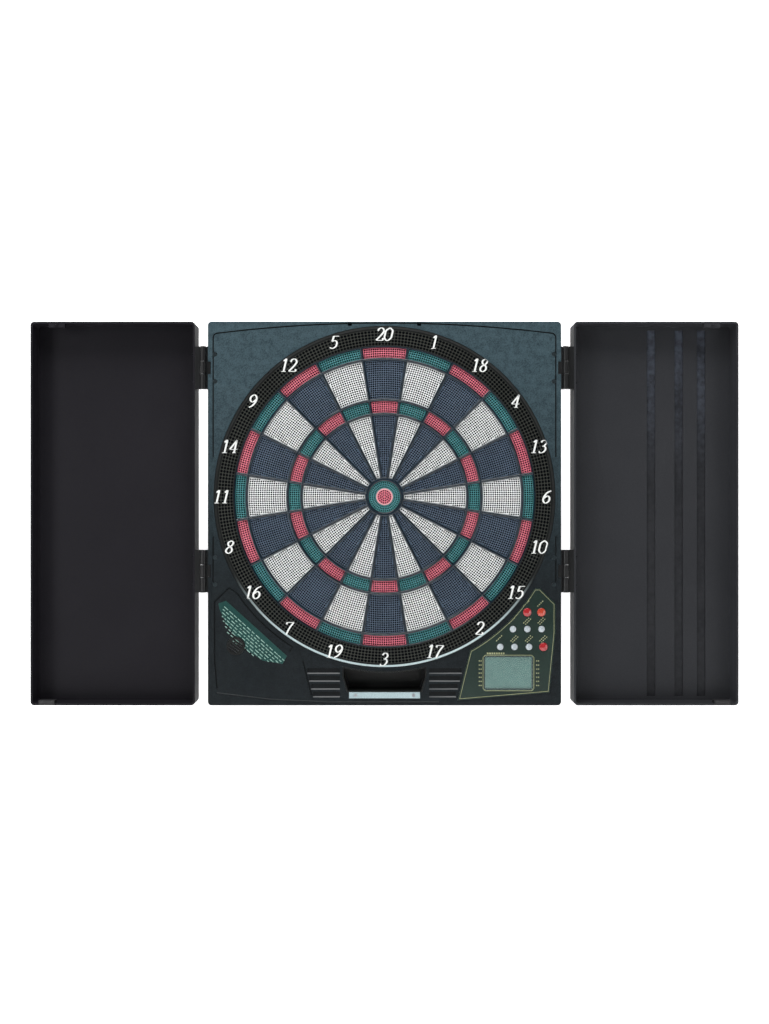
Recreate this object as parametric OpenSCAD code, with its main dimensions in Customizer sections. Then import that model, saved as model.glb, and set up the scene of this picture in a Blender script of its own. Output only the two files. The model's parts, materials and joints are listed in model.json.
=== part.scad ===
// Electronic dart board cabinet for wall mounting, with two folding doors.
// Millimetres. +Z is up, the board faces -Y, the wall is the plane y = 0,
// and the origin lies on the wall straight behind the bull's-eye.

/* [Cabinet] */
// Width of the cabinet body
cabinet_w = 464; // [462:1:480]
// Height of the cabinet body above the bull's-eye
cabinet_top = 230; // [229:1:240]
// Depth of the cabinet body below the bull's-eye
cabinet_bottom = 274; // [273:1:290]
// Depth of the cabinet from the wall to its face
cabinet_d = 46; // [45:1:60]
// Depth of the rear cover
cover_d = 14; // [12:1:16]
// Thickness of the moulded walls
wall = 2.5; // [2:0.1:3]
// Radius of the cabinet's upright corners
corner_r = 5; // [3:0.5:8]

/* [Target] */
// Radius of the opening for the number ring
opening_r = 224.5; // [224:0.1:226]
// Inner radius of the number ring
ring_in_r = 198.6; // [198.5:0.1:200]
// Outer radius of the double segments
double_out = 196.8; // [196:0.1:197]
// Inner radius of the double segments
double_in = 183; // [180:0.5:185]
// Outer radius of the treble segments
treble_out = 126.2; // [124:0.1:128]
// Inner radius of the treble segments
treble_in = 110.7; // [108:0.1:113]
// Outer radius of the web's raised hub
hub_out = 25; // [24:0.5:27]
// Inner radius of the web's raised hub
hub_in = 21; // [20:0.5:22]
// Radius of the inner bull
bull_r = 11; // [9:0.1:12]
// Thickness of the web's walls
web = 3; // [2.4:0.1:3.6]
// Gap between a segment and the wall beside it
segment_gap = 0.4; // [0.3:0.05:0.6]
// Travel of a segment or bull when a dart strikes it
segment_travel = 0.8; // [0.4:0.1:0.8]

/* [Doors] */
// Width of each door
door_w = 216; // [200:1:220]
// Depth of each door
door_d = 28; // [24:1:36]
// Distance of the hinge axis outside the cabinet's side
axis_out = 6; // [5:0.1:7]
// Distance from the hinge axis to the door's hinge wall
door_gap = 11; // [10:0.5:14]
// Width of the styling bars on the right door
bar_w = 12.5; // [8:0.5:16]
// Height of the styling bars and depth of the channels behind them
bar_h = 1.5; // [1:0.1:1.8]

/* [Hinges] */
// Radius of a hinge knuckle
knuckle_r = 3.6; // [3:0.1:4]
// Radius of a hinge pin
pin_r = 1.5; // [1.2:0.1:1.8]
// Radial clearance of the pin in the door's knuckles
pin_clear = 0.05; // [0.02:0.01:0.09]
// Height of the upper hinge's middle above the bull's-eye
hinge_z = 169.4; // [150:0.1:180]
// Distance between the upper and lower hinges
hinge_spacing = 267; // [240:1:280]

/* [Console] */
// Travel of the buttons
button_travel = 1.5; // [0.5:0.1:1.5]
// Radius of the red buttons
red_button_r = 5.5; // [4.5:0.1:6]
// Radius of the white buttons
white_button_r = 4.2; // [3.5:0.1:5]
// Height of a button above the console
button_h = 2.4; // [1.8:0.1:3]

/* [Wall fixing] */
// Distance between the two keyholes
keyhole_spacing = 360; // [300:1:400]
// Height of the keyholes above the bull's-eye
keyhole_z = 170; // [120:1:190]
// Radius of a keyhole's entry
keyhole_r = 5; // [4:0.5:6]

/* [Hidden] */
$fn = 96;
small_fn = 40;
eps = 0.1;

// Planes along the depth, from the face back to the wall
face_y = -cabinet_d;
inner_face_y = face_y + wall;
cover_y = -cover_d;
web_front_y = face_y + 1;
segment_front_y = face_y + 2.5;
segment_back_y = face_y + 15;
foam_y = segment_back_y + segment_travel + 0.1;
foam_t = 2.2;
sheet_t = 0.25;
sheet_y = foam_y + foam_t;
board_y = sheet_y + 3 * sheet_t;
board_t = 5;
circuit_y = face_y + 9.6;
circuit_t = 1.6;

// Cabinet
side_x = cabinet_w / 2;
flange_r = 226.5;
flange_t = 2;
ring_shoulder_r = opening_r - 3.3;
flange_y = inner_face_y + 0.2;
membrane_r = 213;
pressure_r = 215;
ear_r = 9;
ear_at = 236.2;
ear_angles = [30, 150, 210, 330];
boss_r = 5;
screw_r = 1.5;
screw_hole_r = 1.6;
housing_screw_points = [[-222, 222], [222, 222], [-222, -266], [222, -266],
                        [-75, -264], [75, -264]];
groove_w = 1.8;
groove_deep = 1.1;
border_x = 225;
border_r = 6;
label_border_r = 231;
brow_spans = 12;
brow_r = 1800;
brow_top = 228.3;
bead_h = 0.5;

// Hinges and doors
axis_x = side_x + axis_out;
axis_y = face_y - 0.5;
door_x = axis_x + door_gap;
hinge_h = 56;
knuckle_h = 16;
knuckle_gap = 0.6;
knuckle_side_gap = 0.35;
slot_half_h = knuckle_h / 2 + 0.3;
leaf_t = 1.5;
leaf_in_x = 218;
arm_t = 3;
hinge_centres = [hinge_z, hinge_z - hinge_spacing];
face_screw_x = 222.8;
face_screw_dz = 17.8;
door_screw_dz = 19;
bar_offsets = [108, 145, 175];
hook_x = 45.5;
hook_w = 4;
hook_h = 3;
magnet_x = 32;
magnet_size = [21, 10, 6.5];
hook_slot_deep = 6;

// Console
console_arc = 231;
lcd_box = [132.3, 193.3, -251.8, -210.9];
panel_t = 1;
panel_proud = 0.3;
button_flange = 1;
button_flange_t = 1.5;
button_clear = 0.4;
keypad_y = inner_face_y + 0.4 + button_flange_t + button_travel + 0.1;
red_points = [[187.5, -151.7], [206, -151.7], [208.7, -197.2]];
white_points = [[168.7, -173.8], [187.5, -173.8], [206.3, -173.8],
                [152, -197.2], [170.7, -197.2], [189.8, -197.2]];
circuit_hole_points = [[211, -141], [211, -252], [133, -258.5]];
grille_at = [-195.5, -196];
grille_r = 12;
label_deep = 0.4;

// Dart tray
tray_r = 231;
tray_top_x = 53.7;
tray_low_x = 48;
tray_low_z = -255;
tray_d = 28;
tray_t = 1.5;
lip_box = [-46.5, 46.5, -264.6, -255.6];
lip_screw_points = [[-38, -260.6], [38, -260.6]];
ridge_z = [-232.6, -242.9, -253.3, -263.5];
ridge_deep = 1.5;
groove_h = 7.4;

// Batteries
cell_r = 7.2;
cell_l = 50.5;
cell_pitch = 15;
cell_x = -176;
cell_z = -242;
cell_y = -11.5;

// Sectors by number of twentieths of a turn, clockwise from the top
even_sectors = [0 : 2 : 18];
odd_sectors = [1 : 2 : 19];
all_sectors = [0 : 19];

function polar(r, a) = [r * cos(a), r * sin(a)];
function arc_points(r, a0, a1, n) =
    [for (i = [0 : n]) polar(r, a0 + (a1 - a0) * i / n)];

// Outline of the console; `grow` moves its straight edges outwards
function console_points(grow = 0) = concat(
    [[198 + grow / 2, -120.3 + grow], [204.4 + grow, -120.3 + grow],
     [224.6 + grow, -140 + grow], [224.6 + grow, -178.8],
     [216.7 + grow, -257.1 - grow], [95.9 - grow, -267.5 - grow],
     [112.2 - grow, -201.8]],
    arc_points(console_arc - grow, -60, -32, 10));

// Outline of the green score label
label_points = [[-218.3, -140.2], [-208, -136.5], [-128.1, -209.1],
                [-133.9, -219.5], [-160.3, -215], [-179.4, -201.9],
                [-194.1, -185.7], [-208.7, -165.2], [-216.8, -147.5]];

// Flat outline in x and z, as a slab from y0 back to y1
module slab(y0, y1) {
    translate([0, y1, 0]) rotate([90, 0, 0]) linear_extrude(y1 - y0) children();
}

module box(x0, x1, y0, y1, z0, z1) {
    translate([x0, y0, z0]) cube([x1 - x0, y1 - y0, z1 - z0]);
}

// Rod along Y at a point [x, z]
module rod(p, r, y0, y1) {
    translate([p[0], y1, p[1]]) rotate([90, 0, 0])
        cylinder(r = r, h = y1 - y0, $fn = r > 30 ? 160 : small_fn);
}

module ring(r_in, r_out, y0, y1) {
    translate([0, y1, 0]) rotate([90, 0, 0]) rotate_extrude($fn = 160)
        translate([r_in, 0]) square([r_out - r_in, y1 - y0]);
}

// Rectangle with round corners
module round_rect(x0, x1, z0, z1, r) {
    translate([x0 + r, z0]) square([x1 - x0 - 2 * r, z1 - z0]);
    translate([x0, z0 + r]) square([x1 - x0, z1 - z0 - 2 * r]);
    for (x = [x0 + r, x1 - r], z = [z0 + r, z1 - r])
        translate([x, z]) circle(r, $fn = small_fn);
}

module cabinet_outline(inset) {
    round_rect(-side_x + inset, side_x - inset, -cabinet_bottom + inset,
               cabinet_top - inset, corner_r - inset / 2);
}

// Unit vector across the line at point i, the mean of its neighbours' directions
function across(points, i) =
    let (a = points[max(i - 1, 0)], b = points[min(i + 1, len(points) - 1)],
         d = (b - a) / norm(b - a)) [-d[1], d[0]];

// Line of width w through flat points
module stroke(points, w) {
    last = len(points) - 1;
    polygon(concat([for (i = [0 : last]) points[i] + w / 2 * across(points, i)],
                   [for (i = [last : -1 : 0]) points[i] - w / 2 * across(points, i)]));
}

// Pan-head screw along Y: shank from its tip to the head's front
module screw(p, y_tip, y_head, r, head_r, head_t) {
    rod(p, r, min(y_tip, y_head), max(y_tip, y_head));
    rod(p, head_r, min(y_head, y_head + sign(y_head - y_tip) * head_t),
        max(y_head, y_head + sign(y_head - y_tip) * head_t));
}

// ---- Cabinet ----

module tray_outline(grow) {
    difference() {
        polygon([[-tray_top_x - grow, -215], [tray_top_x + grow, -215],
                 [tray_top_x + grow, -236], [tray_low_x + grow, tray_low_z - grow],
                 [-tray_low_x - grow, tray_low_z - grow],
                 [-tray_top_x - grow, -236]]);
        circle(tray_r - grow, $fn = 160);
    }
}

// Line that runs up one side, round the corner and along the brow's shallow arc
function border_points() =
    let (half = border_x - border_r, lean = asin(half / brow_r),
         corner_z = brow_top - brow_r * (1 - cos(lean)) - border_r,
         right = [for (i = [0 : 6]) [half, corner_z] + polar(border_r, 15 * i)],
         brow = [for (i = [1 - brow_spans : brow_spans - 1])
                 [0, brow_top - brow_r] + polar(brow_r, 90 + lean * i / brow_spans)])
    concat([[border_x, 52]], right, brow,
           [for (i = [6 : -1 : 0]) [-right[i][0], right[i][1]]], [[-border_x, 52]]);

// Line up the lower left side, round the end of the label and back along the ring
function label_border_points() =
    concat([[-219.8, -252], [-223, -214], [-223, -138], [-204, -119.5]],
           [for (a = [213.5 : 2.5 : 238.5]) polar(label_border_r, a)],
           [[-124.5, -203.5]]);

module face_grooves() {
    slab(face_y - eps, face_y + groove_deep) {
        stroke(border_points(), groove_w);
        for (side = [-1, 1])
            stroke([[side * border_x, -52], [side * border_x, -112]], groove_w);
        stroke([[-220.5, -257.6], [-150, -266], [-71.5, -269.6], [71.5, -269.6]],
               groove_w);
        stroke(label_border_points(), groove_w);
        stroke([[-107.4, -215], [-95.7, -261]], groove_w);
    }
    for (z = ridge_z)
        ridge_groove(z);
}

// Distance from the middle to the slanting line that ends the grooves at a height
function groove_end(z) = 106 + (z + 215) * 0.25;

// Groove between two ridges; its lower side slopes back from the ridge's crest
module ridge_groove(z) {
    for (side = [-1, 1])
        translate([side > 0 ? tray_top_x + 5 : -groove_end(z), 0, 0])
            rotate([90, 0, 90]) linear_extrude(groove_end(z) - tray_top_x - 5)
                polygon([[face_y - eps, z - eps], [face_y + ridge_deep, z + ridge_deep],
                         [face_y + ridge_deep, z + groove_h],
                         [face_y - eps, z + groove_h]]);
}

module front_housing() {
    color("#3c484c") difference() {
        union() {
            difference() {
                slab(face_y, cover_y) cabinet_outline(0);
                slab(inner_face_y, cover_y + eps) cabinet_outline(wall);
            }
            for (a = ear_angles)
                rod(polar(ear_at, a), boss_r, inner_face_y - eps, board_y);
            for (p = housing_screw_points)
                rod(p, boss_r, inner_face_y - eps, cover_y);
            for (p = circuit_hole_points)
                rod(p, 3.5, inner_face_y - eps, circuit_y);
            ring(opening_r - 1, opening_r + 2, face_y - bead_h, inner_face_y - 0.5);
        }
        rod([0, 0], opening_r, face_y - 1, inner_face_y + 1);
        face_grooves();
        for (side = [-1, 1], z = hinge_centres) {
            side_box(side, side_x - wall - 1.4, side_x + eps, face_y - eps,
                     face_y + 4.6, z - slot_half_h, z + slot_half_h);
            for (dz = [-face_screw_dz, face_screw_dz]) {
                rod([side * face_screw_x, z + dz], screw_hole_r,
                    face_y - eps, inner_face_y + eps);
                rod([side * face_screw_x, z + dz], 3.2, face_y - eps, face_y + 1.4);
            }
            box(side * hook_x - 2.6, side * hook_x + 2.6, face_y - eps,
                face_y + hook_slot_deep, cabinet_top - 5.5, cabinet_top - 0.8);
        }
        for (a = ear_angles)
            rod(polar(ear_at, a), screw_hole_r, board_y - 12, board_y + eps);
        for (p = housing_screw_points)
            rod(p, screw_hole_r, cover_y - 16, cover_y + eps);
        for (p = circuit_hole_points)
            rod(p, 1.05, circuit_y - 6, circuit_y + eps);
        slab(face_y - eps, face_y + panel_t - panel_proud)
            polygon(console_points(0.3));
        box(lcd_box[0], lcd_box[1], face_y - eps, inner_face_y + eps,
            lcd_box[2], lcd_box[3]);
        for (p = red_points)
            rod(p, red_button_r + button_clear, face_y - 1, inner_face_y + eps);
        for (p = white_points)
            rod(p, white_button_r + button_clear, face_y - 1, inner_face_y + eps);
        rod(grille_at, grille_r + 0.2, face_y - eps, inner_face_y + eps);
        slab(face_y - eps, face_y + label_deep) label_outline();
        slab(face_y - eps, inner_face_y + eps) tray_outline(tray_t + 0.1);
        box(lip_box[0] - 0.2, lip_box[1] + 0.2, face_y - eps, face_y + 1.4,
            lip_box[2] - 0.2, tray_low_z);
        for (p = lip_screw_points)
            rod(p, 1.05, face_y - eps, inner_face_y + eps);
    }
}

module rear_cover() {
    color("#2a3033") difference() {
        union() {
            difference() {
                slab(cover_y, 0) cabinet_outline(0);
                slab(cover_y - eps, -wall) cabinet_outline(wall);
            }
            for (p = housing_screw_points)
                rod(p, boss_r, cover_y, -wall + eps);
        }
        for (p = housing_screw_points) {
            rod(p, screw_hole_r, cover_y - eps, eps);
            rod(p, 3.6, -3.4, eps);
        }
        for (side = [-1, 1]) {
            rod([side * keyhole_spacing / 2, keyhole_z], keyhole_r, -wall - eps, eps);
            box(side * keyhole_spacing / 2 - 2.2, side * keyhole_spacing / 2 + 2.2,
                -wall - eps, eps, keyhole_z, keyhole_z + 13);
        }
        box(cell_x - 30, cell_x + 30, -wall - eps, eps, cell_z - 24, cell_z + 24);
        for (i = [-3 : 3])
            box(i * 14 - 2, i * 14 + 2, -wall - eps, eps, -150, -110);
    }
}

module number_ring() {
    color("#1c1d20") rotate([90, 0, 0])
        rotate_extrude($fn = 180) polygon([
            [ring_in_r, -segment_back_y], [ring_in_r + 2, -segment_back_y],
            [ring_in_r + 2, -face_y - 3.5], [opening_r - 2.5, -face_y - 3.5],
            [opening_r - 2.5, -flange_y - flange_t],
            [flange_r, -flange_y - flange_t], [flange_r, -flange_y],
            [opening_r - 0.5, -flange_y], [opening_r - 0.5, -face_y + 0.1],
            [opening_r - 0.9, -face_y + 0.1], [ring_shoulder_r, -face_y - 1.2],
            [ring_in_r, -face_y - 1.2]]);
}

module spider_web() {
    color("#1f3440") difference() {
        union() {
            rod([0, 0], ring_in_r - 0.4, web_front_y, segment_back_y - 0.5);
            rod([0, 0], hub_out, web_front_y - 0.5, segment_back_y - 0.5);
        }
        rod([0, 0], hub_in, web_front_y - 1, segment_back_y);
        slab(web_front_y - 1, segment_back_y) {
            sector_ring(double_in, double_out, all_sectors, 0);
            sector_ring(treble_out + web, double_in - web, all_sectors, 0);
            sector_ring(treble_in, treble_out, all_sectors, 0);
            sector_ring(hub_out + 0.5, treble_in - web, all_sectors, 0);
        }
    }
}

// ---- Segments: one ring of them in alternate sectors ----

// Flat outlines between two radii, `gap` inside the web's openings
module sector_ring(r_in, r_out, sectors, gap) {
    apex = (web / 2 + gap) / sin(9);
    for (k = sectors)
        rotate(-18 * k) intersection() {
            difference() {
                circle(r_out - gap, $fn = 180);
                circle(r_in + gap, $fn = 180);
            }
            translate([0, apex])
                polygon([[0, 0], [-210 * sin(9), 210 * cos(9)],
                         [210 * sin(9), 210 * cos(9)]]);
        }
}

module segments(r_in, r_out, sectors) {
    slab(segment_front_y, segment_back_y)
        sector_ring(r_in, r_out, sectors, segment_gap);
}

module double_red_segments() {
    color("#c22f4b") segments(double_in, double_out, even_sectors);
}

module double_green_segments() {
    color("#1f6b60") segments(double_in, double_out, odd_sectors);
}

module treble_red_segments() {
    color("#c22f4b") segments(treble_in, treble_out, even_sectors);
}

module treble_green_segments() {
    color("#1f6b60") segments(treble_in, treble_out, odd_sectors);
}

module outer_dark_segments() {
    color("#23283a") segments(treble_out + web, double_in - web, even_sectors);
}

module outer_white_segments() {
    color("#d9d6cc") segments(treble_out + web, double_in - web, odd_sectors);
}

module inner_dark_segments() {
    color("#23283a") segments(hub_out + 0.5, treble_in - web, even_sectors);
}

module inner_white_segments() {
    color("#d9d6cc") segments(hub_out + 0.5, treble_in - web, odd_sectors);
}

module outer_bull() {
    color("#1f6b60")
        ring(bull_r + segment_gap, hub_in - segment_gap, segment_front_y,
             segment_back_y);
}

module inner_bull() {
    color("#c22f4b") rod([0, 0], bull_r, segment_front_y - 0.6, segment_back_y);
}

// ---- Sensing stack behind the segments ----

module foam_pad() {
    color("#3a3a3a") rod([0, 0], membrane_r, foam_y, sheet_y);
}

module upper_membrane() {
    color("#c9cdb0") rod([0, 0], membrane_r, sheet_y, sheet_y + sheet_t);
}

module membrane_spacer() {
    color("#e3e3dd")
        ring(hub_out + 2, membrane_r, sheet_y + sheet_t, sheet_y + 2 * sheet_t);
}

module lower_membrane() {
    color("#b9bfa0") rod([0, 0], membrane_r, sheet_y + 2 * sheet_t, board_y);
}

module pressure_board() {
    color("#7a5b3c") difference() {
        slab(board_y, board_y + board_t) {
            circle(pressure_r, $fn = 180);
            for (a = ear_angles)
                rotate(a) {
                    translate([pressure_r - 20, -ear_r])
                        square([ear_at - pressure_r + 20, 2 * ear_r]);
                    translate([ear_at, 0]) circle(ear_r, $fn = small_fn);
                }
        }
        for (a = ear_angles)
            rod(polar(ear_at, a), screw_hole_r, board_y - eps, board_y + board_t + eps);
    }
}

module board_screws() {
    color("#9a9a9a") for (a = ear_angles)
        screw(polar(ear_at, a), board_y - 10, board_y + board_t, screw_r, 3.4, 1.8);
}

module housing_screws() {
    color("#9a9a9a") for (p = housing_screw_points)
        screw(p, cover_y - 14, -3.4, screw_r, 3.2, 1.8);
}

// ---- Console ----

module console_panel() {
    color("#1d3a35") difference() {
        slab(face_y - panel_proud, face_y + panel_t - panel_proud)
            polygon(console_points());
        box(lcd_box[0] - 2, lcd_box[1] + 2, face_y - 1, face_y + 1,
            lcd_box[2] - 2, lcd_box[3] + 2);
        for (p = red_points)
            rod(p, red_button_r + button_clear, face_y - 1, face_y + 1);
        for (p = white_points)
            rod(p, white_button_r + button_clear, face_y - 1, face_y + 1);
    }
}

module lcd_lens() {
    color("#8fb0a8")
        box(lcd_box[0] - 1.9, lcd_box[1] + 1.9, face_y - panel_proud,
            face_y + panel_t - panel_proud, lcd_box[2] - 1.9, lcd_box[3] + 1.9);
}

module lcd_glass() {
    color("#7fa39c")
        box(lcd_box[0] - 2, lcd_box[1] + 2, inner_face_y + 0.1, inner_face_y + 2.1,
            lcd_box[2] - 2, lcd_box[3] + 2);
}

module lcd_holder() {
    color("#d8d8d4")
        box(lcd_box[0] - 3, lcd_box[1] + 3, inner_face_y + 2.1, circuit_y,
            lcd_box[2] - 1, lcd_box[3] + 3);
}

module main_board() {
    color("#2c6b3a") difference() {
        slab(circuit_y, circuit_y + circuit_t) difference() {
            translate([128, -262]) square([88, 126]);
            circle(233, $fn = 160);
        }
        for (p = circuit_hole_points)
            rod(p, 1.1, circuit_y - eps, circuit_y + circuit_t + eps);
    }
}

module small_screws() {
    color("#b8b8b8") {
        for (p = circuit_hole_points)
            screw(p, circuit_y - 5, circuit_y + circuit_t, 1, 2.2, 1.2);
        for (p = lip_screw_points)
            screw(p, face_y + 5, face_y - 0.5, 1, 2.2, 0.4);
    }
}

module keypad_membrane() {
    color("#4a4a4a") slab(keypad_y, circuit_y) difference() {
        translate([146, -204]) square([70, 61]);
        circle(233, $fn = 160);
        translate([211, -141]) circle(5, $fn = small_fn);
    }
}

module button(p, r) {
    rod(p, r, face_y - button_h, inner_face_y + 0.4 + button_flange_t);
    rod(p, r + button_flange, inner_face_y + 0.3, inner_face_y + 0.4 + button_flange_t);
}

module start_button() {
    color("#d0303a") button(red_points[0], red_button_r);
}

module power_button() {
    color("#d8452f") button(red_points[1], red_button_r);
}

module enter_button() {
    color("#d0303a") button(red_points[2], red_button_r);
}

module select_button() {
    color("#b9bfc4") button(white_points[0], white_button_r);
}

module missed_button() {
    color("#b9bfc4") button(white_points[1], white_button_r);
}

module score_button() {
    color("#b9bfc4") button(white_points[2], white_button_r);
}

module double_button() {
    color("#b9bfc4") button(white_points[3], white_button_r);
}

module player_button() {
    color("#b9bfc4") button(white_points[4], white_button_r);
}

module sound_button() {
    color("#b9bfc4") button(white_points[5], white_button_r);
}

// ---- Lower left: score label, speaker and batteries ----

module label_outline() {
    difference() {
        polygon(label_points);
        translate(grille_at) circle(grille_r + 0.6, $fn = small_fn);
    }
}

module score_label() {
    color("#1f5a4c") slab(face_y - 0.1, face_y + label_deep) label_outline();
}

module speaker_grille() {
    color("#1d2022") difference() {
        rod(grille_at, grille_r, face_y - 0.9, inner_face_y);
        rod(grille_at, grille_r - 2, face_y - 1, face_y - 0.4);
        for (i = [-2 : 2])
            translate([grille_at[0], face_y - 2, grille_at[1]]) rotate([0, 35, 0])
                box(-7, 7, 0, 5, i * 3.4 - 0.7, i * 3.4 + 0.7);
    }
}

module speaker() {
    color("#777777") {
        rod(grille_at, 14, inner_face_y + 0.1, inner_face_y + 3);
        rod(grille_at, 8, inner_face_y + 3, inner_face_y + 8);
    }
}

module battery_box() {
    color("#222628") difference() {
        box(cell_x - 31, cell_x + 31, cell_y - cell_r - 1.6, -wall - 0.1,
            cell_z - 25, cell_z + 25);
        box(cell_x - 29.4, cell_x + 29.4, cell_y - cell_r - 0.1, 0,
            cell_z - 23.4, cell_z + 23.4);
    }
}

module batteries() {
    color("#b07a3a") for (i = [-1 : 1])
        translate([cell_x, cell_y, cell_z + i * cell_pitch]) rotate([0, 90, 0]) {
            translate([0, 0, -cell_l / 2]) cylinder(r = cell_r, h = cell_l - 1.2,
                                                    $fn = small_fn);
            translate([0, 0, cell_l / 2 - 1.3]) cylinder(r = 2.7, h = 1.3,
                                                         $fn = small_fn);
        }
}

module battery_contacts() {
    color("#c9c9c4") for (i = [-1 : 1], side = [-1, 1])
        translate([cell_x + side * 28.2, cell_y, cell_z + i * cell_pitch])
            rotate([0, 90, 0]) translate([0, 0, -1])
                cylinder(r = 5, h = 2, $fn = small_fn);
}

module battery_cover() {
    color("#2a3033") {
        box(cell_x - 29.7, cell_x + 29.7, -2, 0, cell_z - 23.7, cell_z + 23.7);
        box(cell_x - 6, cell_x + 6, -4, -2, cell_z + 20, cell_z + 23);
    }
}

module ribbon_cable() {
    color("#8a8f98") rotate([0, 53, 0]) {
        box(membrane_r + 0.2, 238, board_y - sheet_t, board_y, -10, 10);
        box(237.7, 238, circuit_y + circuit_t + 0.1, board_y, -10, 10);
    }
}

// ---- Dart tray ----

module dart_tray() {
    color("#17191b") difference() {
        slab(face_y, face_y + tray_d) tray_outline(tray_t);
        slab(face_y - eps, face_y + tray_d - tray_t) tray_outline(0);
    }
}

module tray_lip() {
    color("#bacdd0") difference() {
        box(lip_box[0], lip_box[1], face_y - 0.5, face_y + 1.4, lip_box[2],
            tray_low_z - tray_t - 0.2);
        for (p = lip_screw_points) rod(p, 1.1, face_y - 1, face_y + 2);
    }
}

// ---- Hinges: one upper and one lower on each side ----

// Knuckle on the hinge axis, bored for the pin
module knuckle(side, z0, z1, bore) {
    translate([side * axis_x, axis_y, z0]) difference() {
        cylinder(r = knuckle_r, h = z1 - z0, $fn = small_fn);
        translate([0, 0, -1]) cylinder(r = bore, h = z1 - z0 + 2, $fn = small_fn);
    }
}

// Box on one side of the cabinet, its x given outwards from the middle
module side_box(side, x0, x1, y0, y1, z0, z1) {
    box(side > 0 ? x0 : -x1, side > 0 ? x1 : -x0, y0, y1, z0, z1);
}

module cabinet_hinge_leaves() {
    bore = pin_r + 0.02;
    color("#202022") for (side = [-1, 1], z = hinge_centres)
        difference() {
            union() {
                knuckle(side, z - knuckle_h / 2, z + knuckle_h / 2, bore);
                side_box(side, side_x - 3.5, axis_x, face_y + 0.6, inner_face_y + 1.6,
                         z - knuckle_h / 2, z + knuckle_h / 2);
                side_box(side, side_x + 0.1, axis_x - knuckle_r - knuckle_side_gap,
                         face_y + 0.6, inner_face_y + 1.6, z - hinge_h / 2,
                         z + hinge_h / 2);
                side_box(side, side_x + 0.1, axis_x,
                         axis_y + knuckle_r + knuckle_side_gap, inner_face_y + 1.6,
                         z - hinge_h / 2, z + hinge_h / 2);
                side_box(side, leaf_in_x, side_x - wall - 0.2, inner_face_y + 0.1,
                         inner_face_y + 0.1 + leaf_t, z - 26, z + 26);
            }
            translate([side * axis_x, axis_y, z - knuckle_h])
                cylinder(r = bore, h = 2 * knuckle_h, $fn = small_fn);
            for (dz = [-face_screw_dz, face_screw_dz])
                rod([side * face_screw_x, z + dz], screw_hole_r,
                    inner_face_y - eps, inner_face_y + 3);
        }
}

module hinge_pins() {
    color("#8c8c8c") for (side = [-1, 1], z = hinge_centres)
        translate([side * axis_x, axis_y, z - hinge_h / 2 + 0.4])
            cylinder(r = pin_r, h = hinge_h - 0.8, $fn = small_fn);
}

module cabinet_hinge_screws() {
    color("#6c6c6c") for (side = [-1, 1], z = hinge_centres,
                          dz = [-face_screw_dz, face_screw_dz])
        screw([side * face_screw_x, z + dz], inner_face_y + 4.5, face_y + 1.4,
              screw_r, 3, 1.1);
}

module door_hinge_leaves(side) {
    bore = pin_r + pin_clear;
    for (z = hinge_centres) difference() {
        union() {
            side_box(side, door_x - leaf_t - 0.1, door_x - 0.1, axis_y + 0.6,
                     axis_y + 14, z - hinge_h / 2, z + hinge_h / 2);
            side_box(side, axis_x + knuckle_r + knuckle_side_gap, door_x - leaf_t,
                     axis_y + 0.6, axis_y + 0.6 + arm_t, z - hinge_h / 2,
                     z + hinge_h / 2);
            for (end = [-1, 1]) {
                z0 = end > 0 ? z + knuckle_h / 2 + knuckle_gap : z - hinge_h / 2;
                z1 = end > 0 ? z + hinge_h / 2 : z - knuckle_h / 2 - knuckle_gap;
                knuckle(side, z0, z1, bore);
                side_box(side, axis_x, door_x - leaf_t, axis_y + 0.6,
                         axis_y + 0.6 + arm_t, z0, z1);
            }
        }
        translate([side * axis_x, axis_y, z - hinge_h])
            cylinder(r = bore, h = 2 * hinge_h, $fn = small_fn);
        for (dz = [-door_screw_dz, door_screw_dz])
            translate([side * door_x, axis_y + 9, z + dz]) rotate([0, 90, 0])
                translate([0, 0, -5]) cylinder(r = screw_hole_r, h = 10, $fn = small_fn);
    }
}

module left_door_hinge_leaves() {
    color("#202022") door_hinge_leaves(-1);
}

module right_door_hinge_leaves() {
    color("#202022") door_hinge_leaves(1);
}

module door_screws(side) {
    for (z = hinge_centres, dz = [-door_screw_dz, door_screw_dz])
        translate([side * door_x, axis_y + 9, z + dz]) rotate([0, side * 90, 0]) {
            translate([0, 0, -leaf_t - 0.1]) cylinder(r = screw_r, h = 6.6, $fn = small_fn);
            translate([0, 0, -leaf_t - 1.1]) cylinder(r = 2.8, h = 1, $fn = small_fn);
        }
}

module left_door_screws() {
    color("#8a8a8a") door_screws(-1);
}

module right_door_screws() {
    color("#8a8a8a") door_screws(1);
}

module strike_plates() {
    color("#9a9a9a") for (side = [-1, 1])
        side_box(side, magnet_x - 10, magnet_x + 10, inner_face_y + 0.1,
                 inner_face_y + 1.3, -cabinet_bottom + wall + 0.2,
                 -cabinet_bottom + wall + 5);
}

// ---- Doors, modelled folded open beside the cabinet ----

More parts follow.
